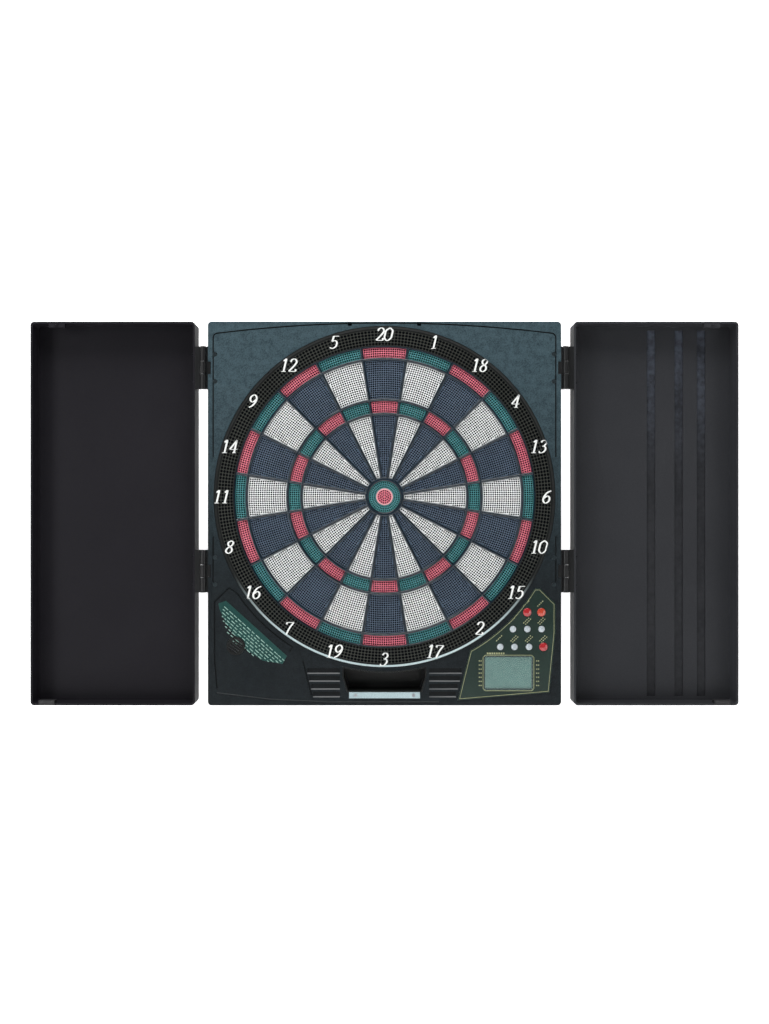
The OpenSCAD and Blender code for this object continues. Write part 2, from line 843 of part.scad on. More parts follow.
module door_shell(side, bars) {
    back_y = face_y + door_d;
    free_x = door_x + door_w;
    difference() {
        union() {
            slab(face_y, back_y)
                round_rect(side > 0 ? door_x : -free_x, side > 0 ? free_x : -door_x,
                           -cabinet_bottom, cabinet_top, corner_r);
            for (offset_x = bars)
                side_box(side, door_x + offset_x - bar_w / 2, door_x + offset_x + bar_w / 2,
                         back_y - eps, back_y + bar_h, -cabinet_bottom + 6,
                         cabinet_top - 6);
        }
        slab(face_y - eps, back_y - wall)
            round_rect(side > 0 ? door_x + wall : -free_x + wall,
                       side > 0 ? free_x - wall : -door_x - wall,
                       -cabinet_bottom + wall, cabinet_top - wall, corner_r - wall / 2);
        for (offset_x = bars)
            side_box(side, door_x + offset_x - bar_w / 2 + 0.6,
                     door_x + offset_x + bar_w / 2 - 0.6, back_y - wall - eps,
                     back_y - wall + bar_h, -cabinet_bottom + 7, cabinet_top - 7);
        for (z = hinge_centres, dz = [-door_screw_dz, door_screw_dz])
            translate([side * door_x, axis_y + 9, z + dz]) rotate([0, 90, 0])
                translate([0, 0, -8]) cylinder(r = screw_hole_r, h = 16, $fn = small_fn);
        magnet_space(side, 0.1);
    }
    hook_at = 2 * axis_x - hook_x;
    side_box(side, hook_at - 10.5, hook_at + 10.5, face_y, face_y + 6,
             cabinet_top - wall - 5, cabinet_top - wall + eps);
    side_box(side, hook_at - hook_w / 2, hook_at + hook_w / 2, face_y - 2.2,
             face_y + 6, cabinet_top - 1 - hook_h, cabinet_top - 1);
}

module left_door() {
    color("#29292e") door_shell(-1, []);
}

module right_door() {
    color("#323336") door_shell(1, bar_offsets);
}

// Space of the magnet in the bottom rim of a door, `grow` wider all round
module magnet_space(side, grow) {
    x = 2 * axis_x - magnet_x;
    side_box(side, x - magnet_size[0] / 2 - grow, x + magnet_size[0] / 2 + grow,
             face_y - grow, face_y + magnet_size[1] + grow, -cabinet_bottom - grow,
             -cabinet_bottom + magnet_size[2] + grow);
}

module left_door_magnet() {
    color("#151515") magnet_space(-1, 0);
}

module right_door_magnet() {
    color("#151515") magnet_space(1, 0);
}

front_housing();
rear_cover();
number_ring();
spider_web();
double_red_segments();
double_green_segments();
treble_red_segments();
treble_green_segments();
outer_dark_segments();
outer_white_segments();
inner_dark_segments();
inner_white_segments();
outer_bull();
inner_bull();
foam_pad();
upper_membrane();
membrane_spacer();
lower_membrane();
pressure_board();
board_screws();
housing_screws();
console_panel();
lcd_lens();
lcd_glass();
lcd_holder();
main_board();
small_screws();
keypad_membrane();
start_button();
power_button();
enter_button();
select_button();
missed_button();
score_button();
double_button();
player_button();
sound_button();
speaker();
speaker_grille();
score_label();
dart_tray();
tray_lip();
battery_box();
batteries();
battery_contacts();
battery_cover();
ribbon_cable();
cabinet_hinge_leaves();
hinge_pins();
cabinet_hinge_screws();
strike_plates();
left_door();
right_door();
left_door_hinge_leaves();
right_door_hinge_leaves();
left_door_screws();
right_door_screws();
left_door_magnet();
right_door_magnet();
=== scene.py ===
# %% [markdown]
# # Electronic dart board cabinet
# The cabinet hangs on a wall with both doors folded open. Its solids, joints and
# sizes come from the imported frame, and this lesson gives them their finished
# surfaces: the pierced segments, the pierced catch ring with its numerals, the
# soft edges of the mouldings, and the print on the console.

# %% The frame
import json
import math

import bmesh
import bpy
import numpy as np
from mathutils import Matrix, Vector


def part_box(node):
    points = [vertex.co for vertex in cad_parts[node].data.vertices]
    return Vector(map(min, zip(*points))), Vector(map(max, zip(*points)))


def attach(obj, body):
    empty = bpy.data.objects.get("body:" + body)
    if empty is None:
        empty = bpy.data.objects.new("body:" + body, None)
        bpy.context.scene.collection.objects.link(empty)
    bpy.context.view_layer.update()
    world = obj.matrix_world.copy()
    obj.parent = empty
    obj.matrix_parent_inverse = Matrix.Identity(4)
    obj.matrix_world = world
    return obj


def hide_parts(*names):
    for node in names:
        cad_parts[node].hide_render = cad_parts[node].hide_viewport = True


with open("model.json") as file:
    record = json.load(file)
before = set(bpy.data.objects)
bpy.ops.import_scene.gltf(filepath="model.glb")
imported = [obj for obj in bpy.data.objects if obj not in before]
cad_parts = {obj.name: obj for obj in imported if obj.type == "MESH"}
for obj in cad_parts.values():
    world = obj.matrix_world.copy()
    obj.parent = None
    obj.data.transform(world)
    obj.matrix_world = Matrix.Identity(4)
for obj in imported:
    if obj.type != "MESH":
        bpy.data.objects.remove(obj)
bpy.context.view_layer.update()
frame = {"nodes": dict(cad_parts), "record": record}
scene = bpy.context.scene
MM = 0.001

# %% [markdown]
# Every size below is taken from the frame. A target piece is known by its radii
# about the bull's-eye and by where its front and back lie along Y, so one helper
# reads those four numbers from a node's own corners.

# %% Measuring the frame


def read(collection, attribute):
    """A vector attribute of a mesh collection, three numbers an element."""
    values = np.empty(len(collection) * 3, np.float32)
    collection.foreach_get(attribute, values)
    return values.reshape(-1, 3)


def measure(node):
    """Inner and outer radius about the bull's-eye, then front and back y."""
    corners = read(frame["nodes"][node].data.vertices, "co")
    radius = np.hypot(corners[:, 0], corners[:, 2])
    return (float(radius.min()), float(radius.max()),
            float(corners[:, 1].min()), float(corners[:, 1].max()))


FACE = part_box("front_housing")[0].y + 0.5 * MM
SECTOR = math.radians(18)
print("face of the cabinet at", round(FACE / MM, 2), "mm")

# %% [markdown]
# ## Making meshes
# A mesh is built from whole arrays. Some grids below squeeze their outer columns
# onto a slanting edge, which leaves corners lying on each other, so the builder
# first merges equal corners and then lets a squeezed quad become a triangle or
# vanish. The result is a closed surface.

# %% Mesh builder


def welded(corners, faces):
    """Equal corners become one; a face loses its repeated corners.

    `faces` is a list of (array of n-gons, material number)."""
    keys = np.round(np.asarray(corners, float) / (0.0005 * MM)).astype(np.int64)
    _, first, number = np.unique(keys, axis=0, return_index=True, return_inverse=True)
    number = number.reshape(-1)
    kept = []
    for polygons, slot_number in faces:
        polygons = number[np.asarray(polygons)]
        repeated = polygons == np.roll(polygons, -1, axis=1)
        count = repeated.sum(axis=1)
        for lost in range(polygons.shape[1] - 2):
            chosen = count == lost
            if chosen.any():
                sides = polygons.shape[1] - lost
                kept.append((polygons[chosen][~repeated[chosen]].reshape(-1, sides),
                             slot_number))
    return np.asarray(corners, float)[first], kept


def add_object(name, data):
    """A new object in the scene."""
    new = bpy.data.objects.new(name, data)
    scene.collection.objects.link(new)
    return new


def dress(mesh, *materials):
    """Gives a mesh these materials and no others."""
    mesh.materials.clear()
    for material in materials:
        mesh.materials.append(material)


def shade_smooth(mesh, degrees):
    """Smooth shading, broken at edges sharper than `degrees`."""
    mesh.polygons.foreach_set("use_smooth", np.ones(len(mesh.polygons), bool))
    mesh.set_sharp_from_angle(angle=math.radians(degrees))


def make_mesh(name, corners, faces, materials, smooth=None):
    """Puts corner and face arrays into a new object at the origin."""
    corners, faces = welded(corners, faces)
    loops = np.concatenate([polygons.ravel() for polygons, _ in faces])
    totals = np.concatenate([np.full(len(p), p.shape[1]) for p, _ in faces])
    slots = np.concatenate([np.full(len(p), number) for p, number in faces])
    mesh = bpy.data.meshes.new(name)
    mesh.vertices.add(len(corners))
    mesh.vertices.foreach_set("co", corners.astype(np.float32).ravel())
    mesh.loops.add(len(loops))
    mesh.loops.foreach_set("vertex_index", loops.astype(np.int32))
    mesh.polygons.add(len(totals))
    starts = np.concatenate([[0], np.cumsum(totals)[:-1]])
    mesh.polygons.foreach_set("loop_start", starts.astype(np.int32))
    dress(mesh, *materials)
    mesh.polygons.foreach_set("material_index", slots.astype(np.int32))
    mesh.update(calc_edges=True)
    if smooth is not None:
        shade_smooth(mesh, smooth)
    return add_object(name, mesh)


def settle(piece, body, slot_name, *nodes):
    """The piece rides on a body and stands for nodes, which it hides; `slot_name` is not
    used.
    """
    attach(piece, body)
    if nodes:
        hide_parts(*nodes)
    return piece


# %% [markdown]
# A closed tube of quads serves for every lathe-turned or carried profile: a grid
# of corners that wraps round in one or both directions.

# %% Grids of quads


def grid_quads(rows, columns, wrap_rows=False, wrap_columns=False):
    """Quads between neighbouring corners of a rows x columns grid."""
    r = np.arange(rows if wrap_rows else rows - 1)
    c = np.arange(columns if wrap_columns else columns - 1)
    r, c = np.meshgrid(r, c, indexing="ij")
    r2, c2 = (r + 1) % rows, (c + 1) % columns
    return np.stack([r * columns + c, r * columns + c2,
                     r2 * columns + c2, r2 * columns + c], axis=-1).reshape(-1, 4)


def lathe(profile, centre, columns):
    """Corners and quads of a closed profile (radius, y) turned about Y at `centre`.

    x = cx + r sin(angle), z = cz + r cos(angle), with one column per angle."""
    profile = np.asarray(profile, float)
    angle = np.arange(columns) * 2 * math.pi / columns
    r, y = profile[:, 0:1], profile[:, 1:2]
    corners = np.stack([centre[0] + r * np.sin(angle), y + 0 * angle,
                        centre[1] + r * np.cos(angle)], axis=-1).reshape(-1, 3)
    return corners, grid_quads(len(profile), columns, True, True)


def carried(rails, closed=False):
    """Corners and faces of a section carried along a line. `rails` holds a flat line
    and its y for each corner of the section. An open line has its ends closed."""
    sheets = [np.stack([flat[:, 0], np.full(len(flat), y), flat[:, 1]], 1)
              for flat, y in rails]
    count, sides = len(sheets[0]), len(sheets)
    faces = [(grid_quads(count, sides, closed, True), 0)]
    if not closed:
        first = np.arange(sides)
        faces.append((np.array([first[::-1], first + (count - 1) * sides]), 0))
    return np.stack(sheets, 1).reshape(-1, 3), faces


# %% [markdown]
# ## Materials
# Every plastic on this cabinet is injection moulded, either from a spark-eroded
# mould that leaves a fine grain or from a polished one. Colours are given as sRGB
# hex values and turned to linear once. One small function adds a node.

# %% Colour and node helpers


def linear(hex_colour):
    """sRGB hex to linear RGBA: c/12.92 below 0.04045, else ((c+0.055)/1.055)^2.4."""
    s = np.array([int(hex_colour[i:i + 2], 16) for i in (1, 3, 5)]) / 255
    c = np.where(s <= 0.04045, s / 12.92, ((s + 0.055) / 1.055) ** 2.4)
    return (*c.tolist(), 1.0)


def add_node(tree, kind, settings=(), **inputs):
    """Adds a node, sets its properties, and sets or links its inputs by name."""
    new = tree.nodes.new(kind)
    for key, value in dict(settings).items():
        setattr(new, key, value)
    for key, value in inputs.items():
        socket = new.inputs[int(key[1:]) if key[1:].isdigit() else key.replace("_", " ")]
        if isinstance(value, bpy.types.NodeSocket):
            tree.links.new(value, socket)
        else:
            socket.default_value = value
    return new


def new_material(name):
    """An empty material with an output, a Principled shader and object coordinates."""
    material = bpy.data.materials.new(name)
    material.use_nodes = True
    tree = material.node_tree
    shader = tree.nodes["Principled BSDF"]
    where = add_node(tree, "ShaderNodeTexCoord").outputs["Object"]
    return material, tree, shader, where


def colour_ramp(tree, share, low, high, start=0.0, stop=1.0):
    """Colour that runs from `low` at `start` to `high` at `stop` of a share."""
    ramp = add_node(tree, "ShaderNodeValToRGB", Fac=share)
    first, last = ramp.color_ramp.elements
    first.position, last.position = start, stop
    first.color, last.color = linear(low), linear(high)
    return ramp.outputs["Color"]


def vary_roughness(tree, shader, share, low, high):
    """Roughness that runs from `low` to `high` with a share."""
    spread = add_node(tree, "ShaderNodeMapRange", Value=share, To_Min=low, To_Max=high)
    tree.links.new(spread.outputs["Result"], shader.inputs["Roughness"])


# %% [markdown]
# Moulded ABS or polystyrene has a refractive index near 1.5. A spark-eroded grain
# is 0.3 to 1 mm across and a few hundredths deep: it breaks highlights up and
# carries dust, so the colour varies a little with it. Broad, faint blotches keep
# large panels from looking like flat paint.

# %% Moulded plastic


def moulded_plastic(name, low, high, grain, rough, depth, blotch=60, lustre=0.5,
                    mottle=0.35):
    """Grained plastic: noise at `grain` mm mixes two colours and lifts the normal.

    Blotches `blotch` mm across shift the mix by up to half of `mottle`."""
    material, tree, shader, where = new_material(name)
    fine = add_node(tree, "ShaderNodeTexNoise", Vector=where, Scale=1 / (grain * MM),
                    Detail=3.0, Roughness=0.6)
    broad = add_node(tree, "ShaderNodeTexNoise", Vector=where,
                     Scale=1 / (blotch * MM), Detail=2.0)
    both = add_node(tree, "ShaderNodeMath", {"operation": "MULTIPLY_ADD"},
                    _0=broad.outputs["Fac"], _1=mottle, _2=-mottle / 2)
    both = add_node(tree, "ShaderNodeMath", {"operation": "ADD"},
                    _0=both.outputs[0], _1=fine.outputs["Fac"])
    tree.links.new(colour_ramp(tree, both.outputs[0], low, high, 0.3, 0.7),
                   shader.inputs["Base Color"])
    vary_roughness(tree, shader, broad.outputs["Fac"], rough - 0.06, rough + 0.06)
    bump = add_node(tree, "ShaderNodeBump", Height=fine.outputs["Fac"],
                    Distance=depth * MM, Strength=0.8)
    tree.links.new(bump.outputs["Normal"], shader.inputs["Normal"])
    shader.inputs["IOR"].default_value = 1.5
    shader.inputs["Specular IOR Level"].default_value = lustre
    return material


# Grey-green housing, spark-eroded mould: speckled, almost stone-like, no gloss.
housing_abs = moulded_plastic("grained_grey_green_abs", "#0e1316", "#1a2023",
                              1.5, 0.55, 0.05, 9, 0.15, 0.5)
# The rear cover has the same grain in a darker grey.
rear_abs = moulded_plastic("grained_dark_grey_abs", "#1c2022", "#34393c",
                           0.9, 0.66, 0.06)
# Door skins: a fine, even grain that reads as a flat charcoal from a distance. Both doors
# are one plastic: the right one is painted lighter, for the stronger light on it.
left_door_painted_light_abs = moulded_plastic("door_abs_painted_dim_light", "#18171b", "#1f1e22",
                                0.7, 0.5, 0.03, 120, 0.1)
right_door_painted_light_abs = moulded_plastic("door_abs_painted_bright_light", "#2a2b2e", "#323336",
                                 0.7, 0.5, 0.03, 120, 0.1)
# The door's channels are darker than the skin round them low down; higher up a painted
# sheen makes them paler and a little bluer.
channel_sheen_abs = moulded_plastic("blue_grey_abs_painted_sheen", "#1f2023", "#28292c",
                              7.0, 0.42, 0.03, 60, 0.15, 0.6)
# Black ring and tray: smoother mould, soft sheen.
black_abs = moulded_plastic("satin_black_abs", "#090b0b", "#141716", 0.8, 0.4, 0.02,
                            60, 0.3)
# The web is polished so that darts slide off it: clear highlights on its edges.
web_nylon = moulded_plastic("glossy_navy_web_nylon", "#0a161f", "#142633",
                            0.9, 0.16, 0.01, 30, 1.0)
# Segments are tough nylon with a faint sheen, moulded in four colours.
white_nylon = moulded_plastic("ivory_segment_nylon", "#dde0e1", "#f0f2f1",
                              1.5, 0.4, 0.01, 25, 0.4)
dark_nylon = moulded_plastic("navy_segment_nylon", "#3b4959", "#516276",
                             1.5, 0.36, 0.01, 25, 0.4)
red_nylon = moulded_plastic("red_segment_nylon", "#cd586d", "#e87e90",
                            1.5, 0.34, 0.01, 25, 0.5)
green_nylon = moulded_plastic("green_segment_nylon", "#2f7376", "#489093",
                              1.5, 0.34, 0.01, 25, 0.5)
# The inner bull's rim is paler.
pale_red_nylon = moulded_plastic("pale_rim_red_nylon", "#d79aa0", "#e6b8bc",
                                 1.5, 0.34, 0.01, 25, 0.5)
# Painted shade: the walls and floors of the holes are coloured almost black, for the shade
# deep inside them.
shade_in_dark_holes, shade_in_pale_holes, shade_in_red_holes, shade_in_green_holes = (
    moulded_plastic(name, low, high, 1.5, 0.9, 0.01, 60, 0.1) for name, low, high in (
        ("shadowed_hole_nylon", "#030508", "#080c12"),
        ("shadowed_pale_hole_nylon", "#0d1014", "#181c21"),
        ("shadowed_red_hole_nylon", "#35080f", "#4d0e19"),
        ("shadowed_green_hole_nylon", "#041715", "#072622")))
print("plastics made:", len(bpy.data.materials))

# %% [markdown]
# The housing is painted paler above and darker below, for the light that falls from above.
# The grain mixes a second, paler pair of colours, and a smooth step along Z chooses
# between the two mixes.

# %% Painted light with height


def fade_upwards(material, low, high, z_from, z_to):
    """Blends in a second colour pair as painted light from above: share = smoothstep of z
    from z_from to z_to mm.
    """
    tree = material.node_tree
    shader = tree.nodes["Principled BSDF"]
    ramp = shader.inputs["Base Color"].links[0].from_node
    grain = ramp.inputs["Fac"].links[0].from_socket
    where = next(n for n in tree.nodes if n.bl_idname == "ShaderNodeTexCoord")
    pale = colour_ramp(tree, grain, low, high, 0.32, 0.68)
    height = add_node(tree, "ShaderNodeSeparateXYZ", Vector=where.outputs["Object"])
    share = add_node(tree, "ShaderNodeMapRange", {"interpolation_type": "SMOOTHSTEP"},
                     Value=height.outputs["Z"], From_Min=z_from * MM, From_Max=z_to * MM)
    mix = add_node(tree, "ShaderNodeMix", {"data_type": "RGBA"},
                   _0=share.outputs["Result"], _6=ramp.outputs["Color"],
                   _7=pale)
    tree.links.new(mix.outputs[2], shader.inputs["Base Color"])


# Painted light from above: the channels and the housing are paler towards the top.
fade_upwards(channel_sheen_abs, "#27292e", "#414650", 0, 240)
fade_upwards(housing_abs, "#28373d", "#3e5057", -150, 200)

# %% [markdown]
# ## Pierced segments
# A soft-tip segment is a block of nylon pierced by hundreds of small holes that
# catch the dart's tip. Cutting them with booleans would be slow and untidy.
# Instead the face is a grid whose cells hold a hole each: the cell's four corners
# are shared with its neighbours, and an eight-sided well is sunk inside it. Rows
# follow the radius and columns keep a constant spacing either side of the middle
# of the sector, and columns that would pass the slanting side are squeezed onto it.

# %% Wells


def wells(corners, cells, inward, width, height):
    """Eight-sided wells sunk in quads.

    A well's rim point k is at (0.5 + width/2 cos, 0.5 + height/2 sin) of the cell,
    blended from its four corners; its floor is the rim moved by `inward`.
    Returns the new corners and the faces of land, wall and floor."""
    start, count = len(corners), len(cells)
    a, b, c, d = (corners[cells[:, k]][:, None, :] for k in range(4))
    angle = np.radians(22.5 + 45 * np.arange(8))
    s = (0.5 + 0.5 * width * np.cos(angle))[None, :, None]
    t = (0.5 + 0.5 * height * np.sin(angle))[None, :, None]
    rim = a * (1 - s) * (1 - t) + b * s * (1 - t) + c * s * t + d * (1 - s) * t
    rings = np.concatenate([rim, rim + np.asarray(inward)], axis=1)
    h = start + np.arange(count)[:, None] * 16 + np.arange(8)
    g = h + 8
    sides = [(1, 2, 0, 7), (2, 3, 2, 1), (3, 0, 4, 3), (0, 1, 6, 5)]
    land = [np.stack([cells[:, p], cells[:, q], h[:, m], h[:, n]], 1)
            for p, q, m, n in sides]
    nooks = [np.stack([cells[:, p], h[:, m], h[:, n]], 1)
             for p, m, n in [(2, 1, 0), (3, 3, 2), (0, 5, 4), (1, 7, 6)]]
    turn = np.roll(np.arange(8), -1)
    wall = np.stack([h, h[:, turn], g[:, turn], g], -1).reshape(-1, 4)
    # Walls and floors take material 1, the painted shade in the holes.
    faces = [(np.concatenate(land), 0), (np.concatenate(nooks), 0), (wall, 1), (g, 1)]
    return np.concatenate([corners, rings.reshape(-1, 3)]), faces


# %% One pierced segment

HOLE_PITCH = 2.9 * MM     # from hole to hole
HOLE_WIDTH = 0.86         # share of the pitch that the hole takes
SIDE = 1.9 * MM           # from the sector's edge line to the segment's side
CHAMFER = 0.3 * MM
MARGIN = 0.6 * MM         # from the inner or outer edge to the first row of holes
WELL = 3.0 * MM
LEAST_ROOM = 0.55         # share of the pitch that a squeezed cell needs for a hole
NARROW = 20 * MM          # segments less deep than this are crowned more
CROWNS = (0.9 * MM, 0.2 * MM)


def half_width(radius, inset):
    """Arc from the middle of a sector to a side parallel to its edge line:
    r (9 degrees - asin(d / r)) with d the distance of the side from that line."""
    return radius * (SECTOR / 2 - np.arcsin((SIDE + inset) / radius))


def pierced_segment(inner, outer, front, back, sector):
    """Corners and faces of one segment, closed all round, holes in its face.

    The face is crowned along the radius: y = front + crown u^2, with u from -1 at
    the inner edge to 1 at the outer one. Narrow segments are crowned more."""
    rows = max(round((outer - inner - 2 * MARGIN) / HOLE_PITCH), 1)
    radius = np.concatenate([[inner], np.linspace(inner + MARGIN, outer - MARGIN, rows + 1),
                             [outer]])
    reach = int(half_width(outer, 0) / HOLE_PITCH) + 1
    line = (np.arange(-reach, reach + 2) - 0.5) * HOLE_PITCH
    line[0], line[-1] = -1.0, 1.0
    crown = CROWNS[0] if outer - inner < NARROW else CROWNS[1]

    def place(inset, y, crown):
        r = np.clip(radius, inner + inset, outer - inset)
        y = y + crown * ((2 * r - inner - outer) / (outer - inner))[:, None] ** 2
        limit = half_width(r, inset)[:, None]
        along = np.clip(line[None, :], -limit, limit)
        angle = along / r[:, None] + sector * SECTOR
        return np.stack([r[:, None] * np.sin(angle), y + 0 * angle,
                         r[:, None] * np.cos(angle)], -1).reshape(-1, 3)

    rows_of, columns_of = len(radius), len(line)
    size = rows_of * columns_of
    corners = np.concatenate([place(CHAMFER, front, crown),
                              place(0, front + CHAMFER, crown), place(0, back, 0)])
    limit = half_width(np.clip(radius, inner + CHAMFER, outer), CHAMFER)[:, None]
    room = np.diff(np.clip(line[None, :], -limit, limit), axis=1)
    whole = np.minimum(room[:-1], room[1:]) > LEAST_ROOM * HOLE_PITCH
    whole[0], whole[-1] = False, False
    quads = grid_quads(rows_of, columns_of)
    whole = whole.ravel()
    corners, faces = wells(corners, quads[whole], (0, WELL, 0), HOLE_WIDTH, HOLE_WIDTH)
    faces.append((quads[~whole], 0))
    faces.append((quads[:, ::-1] + 2 * size, 0))
    number = np.arange(size).reshape(rows_of, columns_of)
    loop = np.concatenate([number[0, :-1], number[:-1, -1], number[-1, :0:-1],
                           number[:0:-1, 0]])
    ahead = np.roll(loop, -1)
    for layer in (0, 1):
        faces.append((np.stack([loop + layer * size, loop + (layer + 1) * size,
                                ahead + (layer + 1) * size, ahead + layer * size],
                               1), 0))
    return corners, faces


def joined(parts):
    """Several (corners, faces) as one, each part's faces moved past the last."""
    corners, faces, start = [], [], 0
    for part_corners, part_faces in parts:
        corners.append(part_corners)
        faces += [(np.asarray(polygons) + start, slot) for polygons, slot in part_faces]
        start += len(part_corners)
    return np.concatenate(corners), faces


# %% All the rings of segments

PALETTE = {"red": (red_nylon, shade_in_red_holes), "green": (green_nylon, shade_in_green_holes),
           "dark": (dark_nylon, shade_in_dark_holes), "white": (white_nylon, shade_in_pale_holes)}
for ring_name, colours in {"double": ("red", "green"), "treble": ("red", "green"),
                           "outer": ("dark", "white"), "inner": ("dark", "white")}.items():
    for first, colour in enumerate(colours):
        node = f"{ring_name}_{colour}_segments"
        inner, outer, front, back = measure(node)
        shape = joined(pierced_segment(inner, outer, front, back, sector)
                       for sector in range(first, 20, 2))
        piece = make_mesh("pierced_" + node, *shape, PALETTE[colour])
        settle(piece, node + "_body", colour + "_segment_plastic", node)
        print(node, "faces:", len(piece.data.polygons))

# %% [markdown]
# ## Bulls
# The two bulls are pierced too. The outer one is a ring, so its rows run round the
# centre. The inner one is a small disc: rings of wells round one in the middle.

# %% Bulls

BULL_HOLE = 0.8           # share of a cell that its hole takes


def pierced_rings(radii, columns, front, rim_drop, back, bands):
    """A turned ring whose face has bands of wells.

    `radii` are the row radii from the inside out; a band is a row number whose
    cells hold wells. The section closes through the back."""
    count = len(radii)
    y = np.full(count, front)
    y[0] += rim_drop
    y[-1] += rim_drop
    profile = np.concatenate([np.stack([radii, y], 1), [[radii[-1], back],
                                                        [radii[0], back]]])
    corners, quads = lathe(profile, (0, 0), columns)
    row = np.repeat(np.arange(count + 2), columns)
    cut = np.isin(row, bands)
    corners, faces = wells(corners, quads[cut], (0, WELL, 0), BULL_HOLE, BULL_HOLE)
    faces.append((quads[~cut], 0))
    return corners, faces


inner, outer, front, back = measure("outer_bull")
rows = np.linspace(inner + 0.4 * MM, outer - 0.6 * MM, 4)
shape = pierced_rings(np.concatenate([[inner], rows, [outer]]), 44, front, 0.4 * MM, back,
                      [1, 2, 3])
piece = make_mesh("pierced_outer_bull", *shape, PALETTE["green"])
settle(piece, "outer_bull_body", "green_segment_plastic", "outer_bull")

_, outer, front, back = measure("inner_bull")
step = (outer - 1.6 * MM) / 3.5
SEAM = 0.02 * MM          # keeps the nested rings from sharing corners
parts = []
for number, holes in enumerate([6, 12, 18]):
    band = step * (0.5 + number)
    parts.append(pierced_rings(np.array([band + SEAM, band + step - SEAM]), holes, front,
                               0, back, [0]))
spot = pierced_rings(np.array([SEAM, step * 0.5 - SEAM]), 12, front, 0, back, [])
rim = pierced_rings(np.array([step * 3.5, step * 3.5 + 0.5 * MM, outer - 0.4 * MM, outer]),
                    48, front, 0.4 * MM, back, [])
pale_rim = (rim[0], [(polygons, 2) for polygons, _ in rim[1]])
piece = make_mesh("pierced_inner_bull", *joined(parts + [spot, pale_rim]),
                  (red_nylon, shade_in_red_holes, pale_red_nylon))
settle(piece, "inner_bull_body", "red_segment_plastic", "inner_bull")

# %% [markdown]
# ## Web
# The web is a polished lattice: one wall round each ring of segments, a hub, and
# twenty spokes. Every wall has rounded shoulders, and they draw the thin bright lines
# along the real web. Walls fill the room that the segments leave.

# %% Rounded walls of the web

CLEARANCE = 0.4 * MM      # from a segment to the wall beside it
SHOULDER = 1.0 * MM       # radius of a wall's two rounded edges
WEB_COLUMNS = 240         # corners round each ring wall


def wall_section(width, front, back):
    """Section of a wall: two shoulders of x = s (w/2 - r + r sin t),
    y = front + r (1 - cos t) with a flat between them, then its foot."""
    t = np.linspace(0, math.pi / 2, 5)
    x = width / 2 - SHOULDER * (1 - np.sin(t))
    y = front + SHOULDER * (1 - np.cos(t))
    left = np.stack([-x, y], 1)[::-1]
    return np.concatenate([left, np.stack([x, y], 1),
                           [[width / 2, back], [-width / 2, back]]])


def ring_wall(inside, outside, front, back):
    """The wall section turned about the bull's-eye."""
    section = wall_section(outside - inside, front, back)
    section[:, 0] += (inside + outside) / 2
    corners, quads = lathe(section, (0, 0), WEB_COLUMNS)
    return corners, [(quads, 0)]


def spoke(number, inside, outside, front, back):
    """The wall section carried along a radius that lies between two sectors."""
    section = wall_section(2 * (SIDE - CLEARANCE), front, back)
    angle = (number + 0.5) * SECTOR
    across, y = section[:, 0:1], section[:, 1:2]
    r = np.array([[outside, inside]])
    corners = np.stack([r * math.sin(angle) + across * math.cos(angle), y + 0 * r,
                        r * math.cos(angle) - across * math.sin(angle)], -1)
    count = len(section)
    ends = 2 * np.arange(count)
    faces = [(grid_quads(count, 2, True), 0), (np.array([ends, ends[::-1] + 1]), 0)]
    return corners.reshape(-1, 3), faces


_, web_outside, front, back = measure("spider_web")
TARGET_RINGS = ["outer_bull", "inner_white_segments", "treble_red_segments",
                "outer_white_segments", "double_red_segments"]
reach = [measure(node)[:2] for node in TARGET_RINGS]
walls = [(here[1] + CLEARANCE, following[0] - CLEARANCE)
         for here, following in zip(reach, reach[1:])]
walls.append((reach[-1][1] + CLEARANCE, web_outside))
parts = [ring_wall(inside, outside, front, back) for inside, outside in walls]
start, stop = sum(walls[0]) / 2, sum(walls[-1]) / 2
parts += [spoke(number, start, stop, front + 0.1 * MM, back - 0.1 * MM)
          for number in range(20)]
piece = make_mesh("rounded_web", *joined(parts), (web_nylon,), 50)
settle(piece, "cabinet", "web_plastic", "spider_web")
print("web walls, in mm:", [[round(r / MM, 1) for r in wall] for wall in walls])

# %% [markdown]
# ## Catch ring
# Darts that miss the doubles stick in this ring. It is a turned section whose flat
# part carries five rows of wells, its outer margin is smooth, and its raised lip has
# a painted highlight along the bottom, where the light from above lies on it.

# %% Pierced catch ring

RING_COLUMNS = 300
RING_WELL = 1.8 * MM
RING_HOLE = 0.9           # share of a cell that its hole takes
inner, outer, front, back = measure("number_ring")
ring_opening = measure("spider_web")[1] + 0.4 * MM
flat_front = FACE + 1.2 * MM
lip_radius = 224.0 * MM
shoulder = lip_radius - 2.8 * MM
flat_rows = np.linspace(ring_opening + 0.6 * MM, shoulder - 2.2 * MM, 6)
section = np.array([[ring_opening, flat_front + 0.4 * MM]]
                   + [[r, flat_front] for r in flat_rows]
                   + [[shoulder, flat_front], [lip_radius - 0.4 * MM, FACE - 0.1 * MM],
                      [lip_radius, FACE - 0.1 * MM], [lip_radius, FACE + 2.6 * MM],
                      [outer, FACE + 2.6 * MM], [outer, FACE + 4.8 * MM],
                      [lip_radius - 2 * MM, FACE + 4.8 * MM],
                      [lip_radius - 2 * MM, FACE + 3.6 * MM],
                      [ring_opening + 2 * MM, FACE + 3.6 * MM],
                      [ring_opening + 2 * MM, back], [ring_opening, back]])
corners, quads = lathe(section, (0, 0), RING_COLUMNS)
row = np.repeat(np.arange(len(section)), RING_COLUMNS)
cut = (row >= 1) & (row <= 5)
corners, faces = wells(corners, quads[cut], (0, RING_WELL, 0), RING_HOLE, RING_HOLE)
# The land between the wells takes slot 3, painted grey as a highlight.
faces = [(faces[0][0], 3), (faces[1][0], 3)] + faces[2:]
lip = row == 7
faces += [(quads[~cut & ~lip], 0), (quads[lip], 2)]
